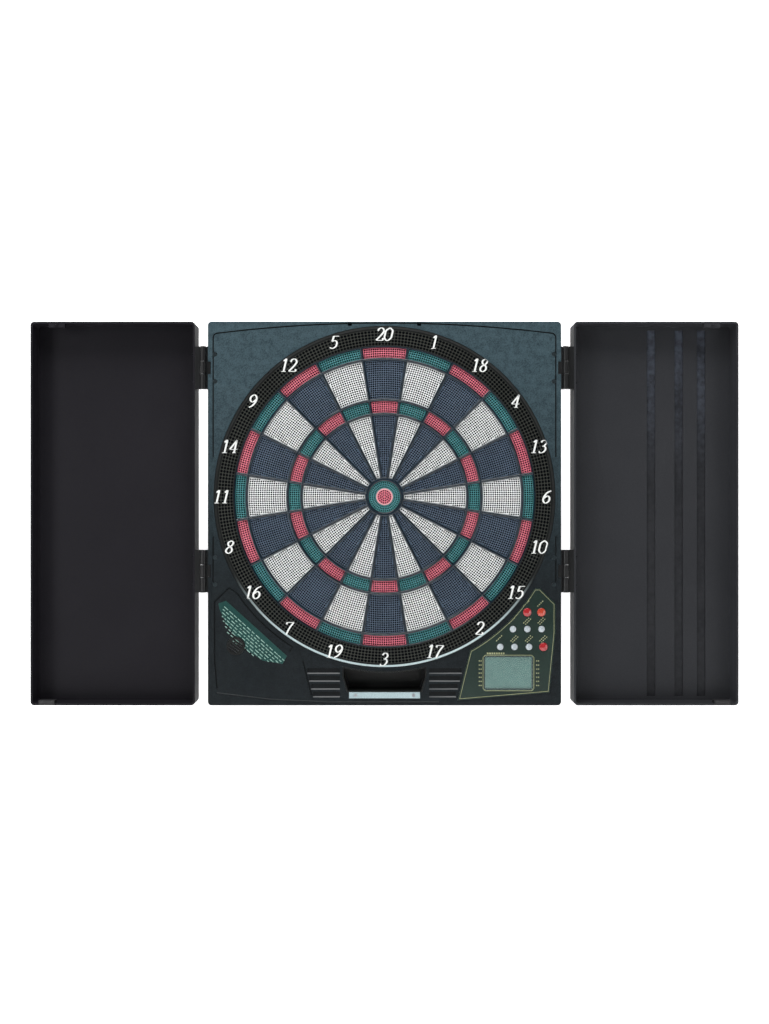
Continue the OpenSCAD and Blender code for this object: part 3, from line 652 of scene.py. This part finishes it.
# The land between the wells is painted grey, a painted highlight on its small ridges; the
# lip is painted pale below, a painted highlight.
ring_land_highlight_abs = moulded_plastic("black_abs_painted_highlight", "#1b1e1a", "#2c2f2a", 1.0, 0.5, 0.02)
lip_highlight_styrene = moulded_plastic("ring_lip_styrene_painted_highlight", "#a3b6b9", "#c2d2d4", 1.5, 0.3,
                              0.01, 30, 0.8)
# Painted highlight on the lip: pale below z -190 mm, dark above -100 mm.
fade_upwards(lip_highlight_styrene, "#0c0e0e", "#191c1b", -190, -100)
piece = make_mesh("pierced_catch_ring", corners, faces,
                  (black_abs, shade_in_dark_holes, lip_highlight_styrene, ring_land_highlight_abs), 35)
settle(piece, "cabinet", "black_plastic", "number_ring")
print("catch ring faces:", len(piece.data.polygons))

# %% [markdown]
# ## Numerals
# The numerals are white, italic and seriffed, printed upright all round the ring.
# Each digit is drawn the way a broad pen draws it: a smooth line is carried through
# a few points, and its width grows where the line runs up or down and shrinks where
# it runs across. A small slab is then swept along that line.

# %% Digit strokes

# Each stroke is a list of (x, y) in a box one unit high; the pen does the rest.
STROKES = {
    0: [[(0.30, 0.98), (0.06, 0.78), (0.04, 0.50), (0.06, 0.22), (0.30, 0.02),
         (0.54, 0.22), (0.56, 0.50), (0.54, 0.78), (0.30, 0.98)]],
    1: [[(0.14, 0.82), (0.30, 0.97), (0.31, 0.60), (0.31, 0.03)],
        [(0.14, 0.03), (0.48, 0.03)]],
    2: [[(0.06, 0.76), (0.14, 0.93), (0.34, 0.97), (0.51, 0.78), (0.42, 0.50),
         (0.08, 0.05)], [(0.07, 0.05), (0.54, 0.05), (0.57, 0.20)]],
    3: [[(0.08, 0.82), (0.18, 0.95), (0.36, 0.95), (0.48, 0.76), (0.36, 0.56),
         (0.22, 0.52)], [(0.24, 0.53), (0.46, 0.46), (0.52, 0.26), (0.38, 0.06),
                         (0.18, 0.03), (0.05, 0.14)]],
    4: [[(0.42, 0.98), (0.22, 0.62), (0.03, 0.30)], [(0.03, 0.29), (0.60, 0.29)],
        [(0.41, 0.98), (0.41, 0.50), (0.41, 0.03)], [(0.28, 0.03), (0.54, 0.03)]],
    5: [[(0.56, 0.95), (0.16, 0.95)], [(0.17, 0.95), (0.13, 0.55)],
        [(0.13, 0.56), (0.34, 0.62), (0.51, 0.46), (0.49, 0.18), (0.28, 0.03),
         (0.06, 0.10)]],
    6: [[(0.50, 0.95), (0.24, 0.80), (0.07, 0.48), (0.08, 0.20), (0.28, 0.02),
         (0.50, 0.16), (0.50, 0.42), (0.30, 0.56), (0.09, 0.38)]],
    7: [[(0.05, 0.80), (0.07, 0.95)], [(0.06, 0.94), (0.57, 0.94)],
        [(0.56, 0.94), (0.34, 0.52), (0.20, 0.02)]],
    8: [[(0.30, 0.97), (0.12, 0.84), (0.16, 0.63), (0.44, 0.42), (0.50, 0.18),
         (0.30, 0.02), (0.08, 0.16), (0.13, 0.40), (0.42, 0.62), (0.48, 0.84),
         (0.30, 0.97)]],
    9: [[(0.10, 0.04), (0.34, 0.18), (0.52, 0.50), (0.51, 0.80), (0.31, 0.98),
         (0.09, 0.84), (0.09, 0.58), (0.29, 0.44), (0.50, 0.62)]],
}
# All in heights of a digit: lean, pen widths, and from one digit to the next.
SLANT = 0.24
THICK, THIN = 0.14, 0.048
DIGIT_PITCH, DIGIT_MIDDLE = 0.62, 0.30
SPAN_STEPS = 6            # pieces that each span of a stroke is cut into
ORDER = [20, 1, 18, 4, 13, 6, 10, 15, 2, 17, 3, 19, 7, 16, 8, 11, 14, 9, 12, 5]


def smooth_line(points):
    """Catmull-Rom line: each span is a cubic through its ends, parallel at each
    point to the chord between that point's neighbours."""
    p = np.asarray(points, float)
    p = np.concatenate([[2 * p[0] - p[1]], p, [2 * p[-1] - p[-2]]])
    t = np.linspace(0, 1, SPAN_STEPS, endpoint=False)[None, :, None]
    a, b, c, d = (p[k:len(p) - 3 + k][:, None, :] for k in range(4))
    line = 0.5 * (2 * b + (c - a) * t + (2 * a - 5 * b + 4 * c - d) * t ** 2
                  + (3 * b - a - 3 * c + d) * t ** 3)
    return np.concatenate([line.reshape(-1, 2), p[-2:-1]])


def pen_stroke(points, front, depth, thick, thin):
    """A slab swept along a line: half width = thin + (thick - thin) |dy| / length.

    The section has a chamfered top, and both ends are closed."""
    line = smooth_line(points)
    along = np.gradient(line, axis=0)
    along /= np.linalg.norm(along, axis=1, keepdims=True)
    across = np.stack([-along[:, 1], along[:, 0]], 1)
    half = 0.5 * (thin + (thick - thin) * np.abs(along[:, 1:2]))
    chamfer = np.minimum(half * 0.3, depth * 0.4)
    rails = [(-1, 0, depth), (-1, 0, 0.4 * depth), (-1, 1, 0), (1, 1, 0),
             (1, 0, 0.4 * depth), (1, 0, depth)]
    return carried([(line + side * across * (half - inset * chamfer), front + y)
                    for side, inset, y in rails])


def numeral(value, centre, height, front, depth):
    """The digits of `value` side by side, sheared by x += slant (y - 1/2)."""
    parts = []
    digits = [int(character) for character in str(value)]
    for place, digit in enumerate(digits):
        shift = (place - (len(digits) - 1) / 2) * DIGIT_PITCH - DIGIT_MIDDLE
        for stroke in STROKES[digit]:
            flat = np.asarray(stroke, float)
            x = flat[:, 0] + shift + SLANT * (flat[:, 1] - 0.5)
            z = flat[:, 1] - 0.5
            points = np.stack([centre[0] + height * x, centre[1] + height * z], 1)
            parts.append(pen_stroke(points, front, depth, THICK * height, THIN * height))
    return parts


# The numerals stand up from the ring and are painted a slightly uneven white.
white_ink = moulded_plastic("white_screen_ink", "#d9dcdb", "#f6f7f4", 0.8, 0.5, 0.01)
NUMERAL_RADIUS = 213.6 * MM
NUMERAL_HEIGHT = 17.4 * MM
PRINT_GAP = 0.05 * MM     # how far print stands in front of what carries it
parts = []
for sector, value in enumerate(ORDER):
    angle = sector * SECTOR
    centre = (NUMERAL_RADIUS * math.sin(angle), NUMERAL_RADIUS * math.cos(angle))
    parts += numeral(value, centre, NUMERAL_HEIGHT, FACE - PRINT_GAP, 1.4 * MM)
piece = make_mesh("ring_numerals", *joined(parts), (white_ink,), 40)
settle(piece, "cabinet", "white_segment_plastic")
print("numeral faces:", len(piece.data.polygons))

# %% [markdown]
# ## Mouldings with soft edges
# The frame's solids have knife edges. A moulded edge has a radius of a few tenths
# of a millimetre, and that radius is what catches the light. The frame's meshes are
# loose triangles, so a copy is welded, its flat areas are joined, and a Bevel
# modifier rounds what is left. Grooves and channels can take a colour of their own,
# chosen by where their faces lie: painted shade in the grooves, painted highlights
# on the ridges and a painted sheen in the channels.

# %% Softening a frame node


def soften(node, materials, radius, segments=2, body="cabinet", zones=None):
    """A welded copy of a node with its sharp edges rounded to `radius`.

    `zones` takes face centres and normals and returns a material number each."""
    mesh = frame["nodes"][node].data.copy()
    mesh.name = "soft_" + node
    work = bmesh.new()
    work.from_mesh(mesh)
    bmesh.ops.remove_doubles(work, verts=work.verts, dist=0.002 * MM)
    bmesh.ops.dissolve_limit(work, angle_limit=math.radians(0.6), verts=work.verts,
                             edges=work.edges)
    work.to_mesh(mesh)
    work.free()
    dress(mesh, *materials)
    chosen = np.zeros(len(mesh.polygons), np.int32)
    if zones:
        chosen[:] = zones(read(mesh.polygons, "center") / MM,
                          read(mesh.polygons, "normal"))
    mesh.polygons.foreach_set("material_index", chosen)
    shade_smooth(mesh, 32)
    piece = add_object("soft_" + node, mesh)
    bevel = piece.modifiers.new("moulded_edge", "BEVEL")
    bevel.width = radius * MM
    bevel.segments = segments
    bevel.limit_method = "ANGLE"
    bevel.angle_limit = math.radians(35)
    bevel.use_clamp_overlap = True
    bevel.harden_normals = True
    slots = {entry["node"]: entry["material_slot"]
             for entry in frame["record"]["subparts"]}
    return settle(piece, body, slots[node], node)


# Painted shade blackens the grooves; the ridges' upward slopes get a painted highlight.
groove_shade_abs = moulded_plastic("groove_abs_painted_shade", "#06090b", "#0e1315", 1.0, 0.7, 0.02,
                             60, 0.2)
ridge_abs_painted_highlight = moulded_plastic("ridge_abs_painted_highlight", "#2b3032", "#3b4042", 1.2, 0.45,
                                   0.02, 60, 0.5)


# Depths in mm: grooves in the face, the door, and its skin under the channels.
GROOVE_FROM, GROOVE_TO, SHALLOW_GROOVE = 0.9, 2.0, 1.3
DOOR_DEPTH, DOOR_SKIN = 28, 2.5


def housing_zones(centre, normal):
    """Groove floors get painted shade. Slopes of the ridges that look up and out get a
    painted highlight, and so does the shallow border along the bottom."""
    depth = centre[:, 1] - FACE / MM
    low, beside_tray = centre[:, 2] < -222, np.abs(centre[:, 0]) < 115
    floor = (normal[:, 1] < -0.9) & (depth > GROOVE_FROM) & (depth < GROOVE_TO)
    slope = (normal[:, 2] > 0.5) & (normal[:, 1] < -0.5) & low & beside_tray
    border = floor & (centre[:, 2] < -255) & (depth < SHALLOW_GROOVE)
    return np.select([slope | border, floor], [2, 1], 0)


def channel_zones(centre, normal):
    """Channel floors lie deeper than the rest of the door's inner skin."""
    skin = FACE / MM + DOOR_DEPTH - DOOR_SKIN
    return ((normal[:, 1] < -0.9) & (centre[:, 1] > skin + 0.5)
            & (centre[:, 1] < skin + 2)).astype(int)


soften("front_housing", (housing_abs, groove_shade_abs, ridge_abs_painted_highlight), 0.5,
       zones=housing_zones)
soften("rear_cover", (rear_abs,), 0.5)
soften("dart_tray", (black_abs,), 0.4)
soften("speaker_grille", (black_abs,), 0.25)
soften("left_door", (left_door_painted_light_abs,), 0.7, 3, "left_door_body")
soften("right_door", (right_door_painted_light_abs, channel_sheen_abs), 0.7, 3, "right_door_body",
       channel_zones)

# %% [markdown]
# ## Finish of the nodes that keep their shape
# Screws, pins, sheets and boards are already the right shape. Each gets the finish
# that such a piece has.

# %% Metals and sheet materials


def plated_metal(name, low, high, rough, scratch):
    """Metal with fine drawn scratches `scratch` mm apart in its roughness."""
    material, tree, shader, where = new_material(name)
    stretched = add_node(tree, "ShaderNodeMapping", Vector=where, Scale=(1, 1, 6))
    noise = add_node(tree, "ShaderNodeTexNoise", Vector=stretched.outputs[0],
                     Scale=1 / (scratch * MM), Detail=4.0)
    tree.links.new(colour_ramp(tree, noise.outputs["Fac"], low, high),
                   shader.inputs["Base Color"])
    vary_roughness(tree, shader, noise.outputs["Fac"], rough - 0.1, rough + 0.1)
    shader.inputs["Metallic"].default_value = 1.0
    return material


# Bright zinc plating on pressed and turned steel.
zinc_steel = plated_metal("zinc_plated_steel", "#8f9296", "#c9ccd0", 0.35, 0.4)
# The door's screws are blackened, and those in the face are lacquered to match it.
black_steel = plated_metal("black_oxide_steel", "#121315", "#26282b", 0.45, 0.4)
lacquered_steel = moulded_plastic("slate_lacquered_steel", "#141c1f", "#222d31", 1.0, 0.3,
                                  0.01, 8, 0.6)
hinge_nylon = moulded_plastic("satin_black_hinge_nylon", "#0d0e0f", "#191a1b", 0.6, 0.36,
                              0.02, 60, 0.4)
# Open-cell foam: dark, dead matt, with visible pores about 1 mm across.
sheet_foam = moulded_plastic("black_open_cell_foam", "#131313", "#2b2b2b", 1.0, 0.95, 0.3)
# Hardboard: brown pressed fibres.
hardboard = moulded_plastic("brown_hardboard", "#5b4128", "#8a6a45", 1.2, 0.8, 0.05)
film = moulded_plastic("printed_polyester_film", "#9fa48a", "#c8ccb4", 3.0, 0.25, 0.01)
solder_mask = moulded_plastic("green_solder_mask", "#14552a", "#2c7d40", 2.0, 0.3, 0.02)
keypad_rubber = moulded_plastic("grey_silicone_rubber", "#3c3c3e", "#545457", 1.0, 0.75,
                                0.02)
cell_wrap = moulded_plastic("copper_battery_wrap", "#7c4c22", "#b88148", 4.0, 0.35, 0.01)
plain_white = moulded_plastic("white_polystyrene", "#c9c9c4", "#e6e6e0", 1.0, 0.5, 0.01)
magnet_strip = moulded_plastic("magnetic_strip", "#101012", "#1e1e20", 0.6, 0.6, 0.03)

FINISH = {
    zinc_steel: ["board_screws", "housing_screws", "small_screws", "hinge_pins",
                 "strike_plates", "battery_contacts", "speaker"],
    black_steel: ["left_door_screws", "right_door_screws"],
    lacquered_steel: ["cabinet_hinge_screws"],
    sheet_foam: ["foam_pad"], hardboard: ["pressure_board"],
    film: ["upper_membrane", "membrane_spacer", "lower_membrane", "ribbon_cable"],
    solder_mask: ["main_board"], keypad_rubber: ["keypad_membrane"],
    cell_wrap: ["batteries"], plain_white: ["lcd_holder"], rear_abs: ["battery_box"],
}
for material, nodes in FINISH.items():
    for node in nodes:
        dress(frame["nodes"][node].data, material)

soften("battery_cover", (rear_abs,), 0.4, 2, "battery_cover_body")
soften("cabinet_hinge_leaves", (hinge_nylon,), 0.3)
for side in ("left", "right"):
    soften(side + "_door_hinge_leaves", (hinge_nylon,), 0.3, 2, side + "_door_body")
    soften(side + "_door_magnet", (magnet_strip,), 0.3, 2, side + "_door_body")

# %% [markdown]
# ## Console
# The console is a printed plate, semi-gloss dark green with a pale gold line round
# its edge and round the display. Lettering is left out: short slanted bars stand
# where a real console has its captions. The lines are thin raised ink, swept along
# the outline of the plate.

# %% Console finishes and print

console_ink_green = moulded_plastic("dark_green_console_print", "#101e1a", "#1c3029",
                                    1.4, 0.32, 0.01, 40)
label_ink_green = moulded_plastic("deep_green_label_print", "#082f2c", "#0f443f",
                                  1.4, 0.35, 0.01, 40)
gold_ink = moulded_plastic("pale_gold_ink", "#80845f", "#a6aa80", 1.0, 0.4, 0.01)
pale_ink = moulded_plastic("pale_label_ink", "#6b958a", "#92b4a9", 1.0, 0.45, 0.01)


INK = 0.12 * MM           # thickness of a printed line


def printed_line(points, front, width, closed=False):
    """A flat bar of ink along straight spans: four-sided in section, mitred."""
    p = np.asarray(points, float) * MM
    before = np.roll(p, 1, axis=0) if closed else np.concatenate([[p[0]], p[:-1]])
    after = np.roll(p, -1, axis=0) if closed else np.concatenate([p[1:], [p[-1]]])
    arrive, leave = p - before, after - p
    if not closed:
        arrive[0], leave[-1] = leave[0], arrive[-1]
    arrive /= np.linalg.norm(arrive, axis=1, keepdims=True)
    leave /= np.linalg.norm(leave, axis=1, keepdims=True)
    middle = arrive + leave
    middle /= np.linalg.norm(middle, axis=1, keepdims=True)
    across = np.stack([-middle[:, 1], middle[:, 0]], 1)
    across /= np.abs((middle * arrive).sum(1, keepdims=True))
    half = 0.5 * width * MM
    return carried([(p + side * half * across, front + y)
                    for side, y in ((-1, INK), (-1, 0), (1, 0), (1, INK))], closed)


def turned(r, degrees):
    """Point at a radius and angle about the bull's-eye, in mm."""
    return (r * math.cos(math.radians(degrees)), r * math.sin(math.radians(degrees)))


soften("console_panel", (console_ink_green,), 0.12)
soften("score_label", (label_ink_green,), 0.12)

panel_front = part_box("console_panel")[0].y - PRINT_GAP
edge_line = [(198.3, -122.4), (203.6, -122.4), (222.6, -141.2), (222.6, -178.8),
             (215, -255.4), (98.6, -265.3), (114, -202.8)]
edge_line += [turned(232.9, -59.5 + 27 * k / 12) for k in range(13)]
parts = [printed_line(edge_line, panel_front, 0.55, closed=True)]
low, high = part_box("lcd_lens")
x0, x1, z0, z1 = (v / MM for v in (low.x, high.x, low.z, high.z))
cut = 3.0                 # cut corners of the line round the display, 1 mm out
display_line = [(x0 - 1, z0 - 1 + cut), (x0 - 1 + cut, z0 - 1), (x1 + 1 - cut, z0 - 1),
                (x1 + 1, z0 - 1 + cut), (x1 + 1, z1 + 1 - cut), (x1 + 1 - cut, z1 + 1),
                (x0 - 1 + cut, z1 + 1), (x0 - 1, z1 + 1 - cut)]
parts.append(printed_line(display_line, panel_front, 0.65, closed=True))
for row in range(7):
    z = -215.6 - row * 5.35
    for x in (x0 - 6.6, x1 + 4.0):
        for bar in range(2):
            parts.append(printed_line([(x + bar * 2.3, z), (x + bar * 2.3 + 1.5, z)],
                                      panel_front, 1.5))
for bar in range(8):
    x = 134.5 + bar * 3.0
    parts.append(printed_line([(x, -205.7), (x + 2.0, -205.7)], panel_front, 2.2))

BUTTONS = ["start_button", "power_button", "enter_button", "select_button",
           "missed_button", "score_button", "double_button", "player_button",
           "sound_button"]
ONE_LINE = ("start_button", "power_button", "select_button", "double_button")
for node in BUTTONS:
    low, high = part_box(node)
    x, z = (low.x + high.x) / 2 / MM - 5.2, (low.z + high.z) / 2 / MM + 7.6
    for line in range(1 if node in ONE_LINE else 2):
        for bar in range(4):
            bx, bz = x + bar * 2.1 + line * 2.5, z + bar * 2.1 - line * 1.6
            parts.append(printed_line([(bx, bz), (bx + 1.2, bz + 1.2)],
                                      panel_front, 1.2))
piece = make_mesh("console_print", *joined(parts), (gold_ink,))
settle(piece, "cabinet", "printed_panel")

# %% [markdown]
# The score label lists rules in small slanted print. Here it carries rows of short
# bars of uneven length, which read as print and say nothing.

# %% Score label print

label_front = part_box("score_label")[0].y - PRINT_GAP
parts = []
LABEL_ANGLE = math.radians(-42)
direction = np.array([math.cos(LABEL_ANGLE), math.sin(LABEL_ANGLE)])
normal = np.array([-direction[1], direction[0]])
start_point = np.array([-211.5, -142.5])
uneven = np.random.default_rng(4)
LINE_PITCH = 3.7
LINE_SPANS = [(2, 108), (3, 107), (5, 105), (8, 100), (13, 94), (20, 84), (27, 74),
              (36, 58)]
for line, (begin, end) in enumerate(LINE_SPANS):
    origin = start_point - normal * (0.6 + line * LINE_PITCH)
    at = float(begin)
    while at < end:
        length = float(uneven.uniform(2.4, 7.0))
        stop = min(at + length, end)
        if stop - at > 1.0:
            parts.append(printed_line([origin + direction * at, origin + direction * stop],
                                      label_front, 1.05))
        at += length + float(uneven.uniform(1.2, 3.0))
piece = make_mesh("score_label_print", *joined(parts), (pale_ink,))
settle(piece, "cabinet", "printed_panel")

# %% [markdown]
# ## Buttons
# A moulded button has a shallow domed top, a quarter-round shoulder, a straight side
# and a flange that keeps it behind the plate. The profile is turned about its axis.

# %% Domed buttons

red_acetal, orange_acetal, grey_acetal = (
    moulded_plastic(name, low, high, 1.2, 0.16, 0.01, 20, 0.8) for name, low, high in (
        ("red_acetal_button", "#8f1b22", "#b02c2f"),
        ("orange_red_acetal_button", "#9d301f", "#bd4630"),
        ("pale_grey_acetal_button", "#929ca2", "#b7c0c5")))
BUTTON_FINISH = {"start_button": red_acetal, "power_button": orange_acetal,
                 "enter_button": red_acetal}


DOME = 1.2 * MM
BEND = 0.9 * MM           # radius of the shoulder
FLANGE = 1.6 * MM
CORE = 0.001 * MM         # keeps the profile off its axis, so that the top closes


def domed_button(node, material):
    """Profile: a dome y = front + DOME t^2, a quarter-round shoulder, a flange."""
    low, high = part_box(node)
    centre = ((low.x + high.x) / 2, (low.z + high.z) / 2)
    flange = (high.x - low.x) / 2
    radius = flange - 1.0 * MM
    t = np.linspace(0, 1, 7)
    crown = np.stack([t * (radius - BEND) + CORE, low.y + DOME * t ** 2], 1)
    q = np.linspace(0, math.pi / 2, 6)[1:]
    bend = np.stack([radius - BEND + BEND * np.sin(q),
                     low.y + DOME + BEND * (1 - np.cos(q))], 1)
    base = np.array([[radius, high.y - FLANGE], [flange, high.y - FLANGE],
                     [flange, high.y], [CORE, high.y]])
    profile = np.concatenate([crown, bend, base])
    corners, quads = lathe(profile, centre, 32)
    piece = make_mesh("domed_" + node, corners, [(quads, 0)], (material,), 40)
    slot_name = "white_button_plastic" if material is grey_acetal else "red_button_plastic"
    return settle(piece, node + "_body", slot_name, node)


for node in BUTTONS:
    domed_button(node, BUTTON_FINISH.get(node, grey_acetal))

# %% [markdown]
# ## Display
# A reflective liquid-crystal display is a grey-green sheet of glass behind a clear
# window. The window is nearly invisible but for its reflections, so it is given a
# low alpha with a sharp gloss.

# %% Display finishes

lcd_grey_green = moulded_plastic("grey_green_lcd_glass", "#3c5e5b", "#4b6e69", 5.0, 0.2,
                                 0.002, 30)
dress(frame["nodes"]["lcd_glass"].data, lcd_grey_green)

window, tree, shader, where = new_material("clear_acrylic_window")
smudge = add_node(tree, "ShaderNodeTexNoise", Vector=where, Scale=1 / (18 * MM), Detail=3.0)
vary_roughness(tree, shader, smudge.outputs["Fac"], 0.04, 0.16)
shader.inputs["Base Color"].default_value = linear("#a9c6c0")
shader.inputs["Alpha"].default_value = 0.14
shader.inputs["IOR"].default_value = 1.49
dress(frame["nodes"]["lcd_lens"].data, window)

# %% [markdown]
# ## Tray lip
# The pale strip under the dart tray is a separate glossy moulding with a shallow
# line along it, held by two small screws.

# %% Tray lip

pale_styrene = moulded_plastic("pale_blue_grey_styrene", "#8fa3a8", "#adc0c5", 1.5, 0.3,
                               0.01, 30)
soften("tray_lip", (pale_styrene,), 0.3)

# %% [markdown]
# ## Studio
# A plain pale backdrop sweeps from a wall into a floor. It stands close behind the
# cabinet, so it hides the cabinet from behind. A long soft light overhead
# lies on every edge that faces up, and two weak ones at the sides fill the fronts.
# Nothing bright stands behind the camera, so the flat dark fronts stay dark.

# %% Backdrop, lights and camera

width, depth, height, bend = 3.2, 2.4, 2.4, 0.35
turn = np.linspace(0, math.pi / 2, 12)
back_y, floor_z = 0.16, -0.78
sweep = np.concatenate([
    [[back_y, floor_z + height]],
    np.stack([back_y - bend + bend * np.cos(turn), floor_z + bend - bend * np.sin(turn)],
             1),
    [[back_y - depth, floor_z]]])
corners = np.array([[x, y, z] for x in (-width, width) for y, z in sweep])
quads = grid_quads(2, len(sweep))
backdrop = make_mesh("studio_backdrop", corners, [(quads, 0)], (), 60)
paper, tree, shader, where = new_material("white_backdrop_paper")
fibre = add_node(tree, "ShaderNodeTexNoise", Vector=where, Scale=400.0, Detail=2.0)
white = colour_ramp(tree, fibre.outputs["Fac"], "#f4f4f4", "#fcfcfc")
for socket in ("Base Color", "Emission Color"):
    tree.links.new(white, shader.inputs[socket])
shader.inputs["Emission Strength"].default_value = 0.62
shader.inputs["Roughness"].default_value = 0.9
backdrop.data.materials.append(paper)


def area_light(name, place, aim, size, power):
    """A soft square light at `place` that looks towards `aim`."""
    light = bpy.data.lights.new(name, "AREA")
    light.shape = "RECTANGLE"
    light.size, light.size_y = size
    light.energy = power
    lamp = add_object(name, light)
    lamp.location = place
    direction = Vector(aim) - lamp.location
    lamp.rotation_euler = direction.to_track_quat("-Z", "Y").to_euler()


area_light("overhead_softbox", (-0.25, -0.80, 1.70), (0, 0, -0.05), (2.0, 0.8), 46)
area_light("left_softbox", (-1.7, -1.5, 0.1), (0, 0, 0), (0.6, 1.4), 15)
area_light("right_softbox", (1.8, -1.6, -0.2), (0, 0, 0), (0.8, 1.4), 8)
world = bpy.data.worlds.new("soft_studio")
world.use_nodes = True
world.node_tree.nodes["Background"].inputs["Color"].default_value = linear("#ffffff")
world.node_tree.nodes["Background"].inputs["Strength"].default_value = 0.1
scene.world = world
scene.view_settings.view_transform = "Standard"

CAMERA_AWAY = 1.30        # from the cabinet's face to the lens
camera_data = bpy.data.cameras.new("front_camera")
camera_data.lens = 34.8
camera = add_object("front_camera", camera_data)
camera.location = (0.0, FACE - CAMERA_AWAY, -0.020)
camera.rotation_euler = (math.radians(90), 0, 0)
scene.camera = camera
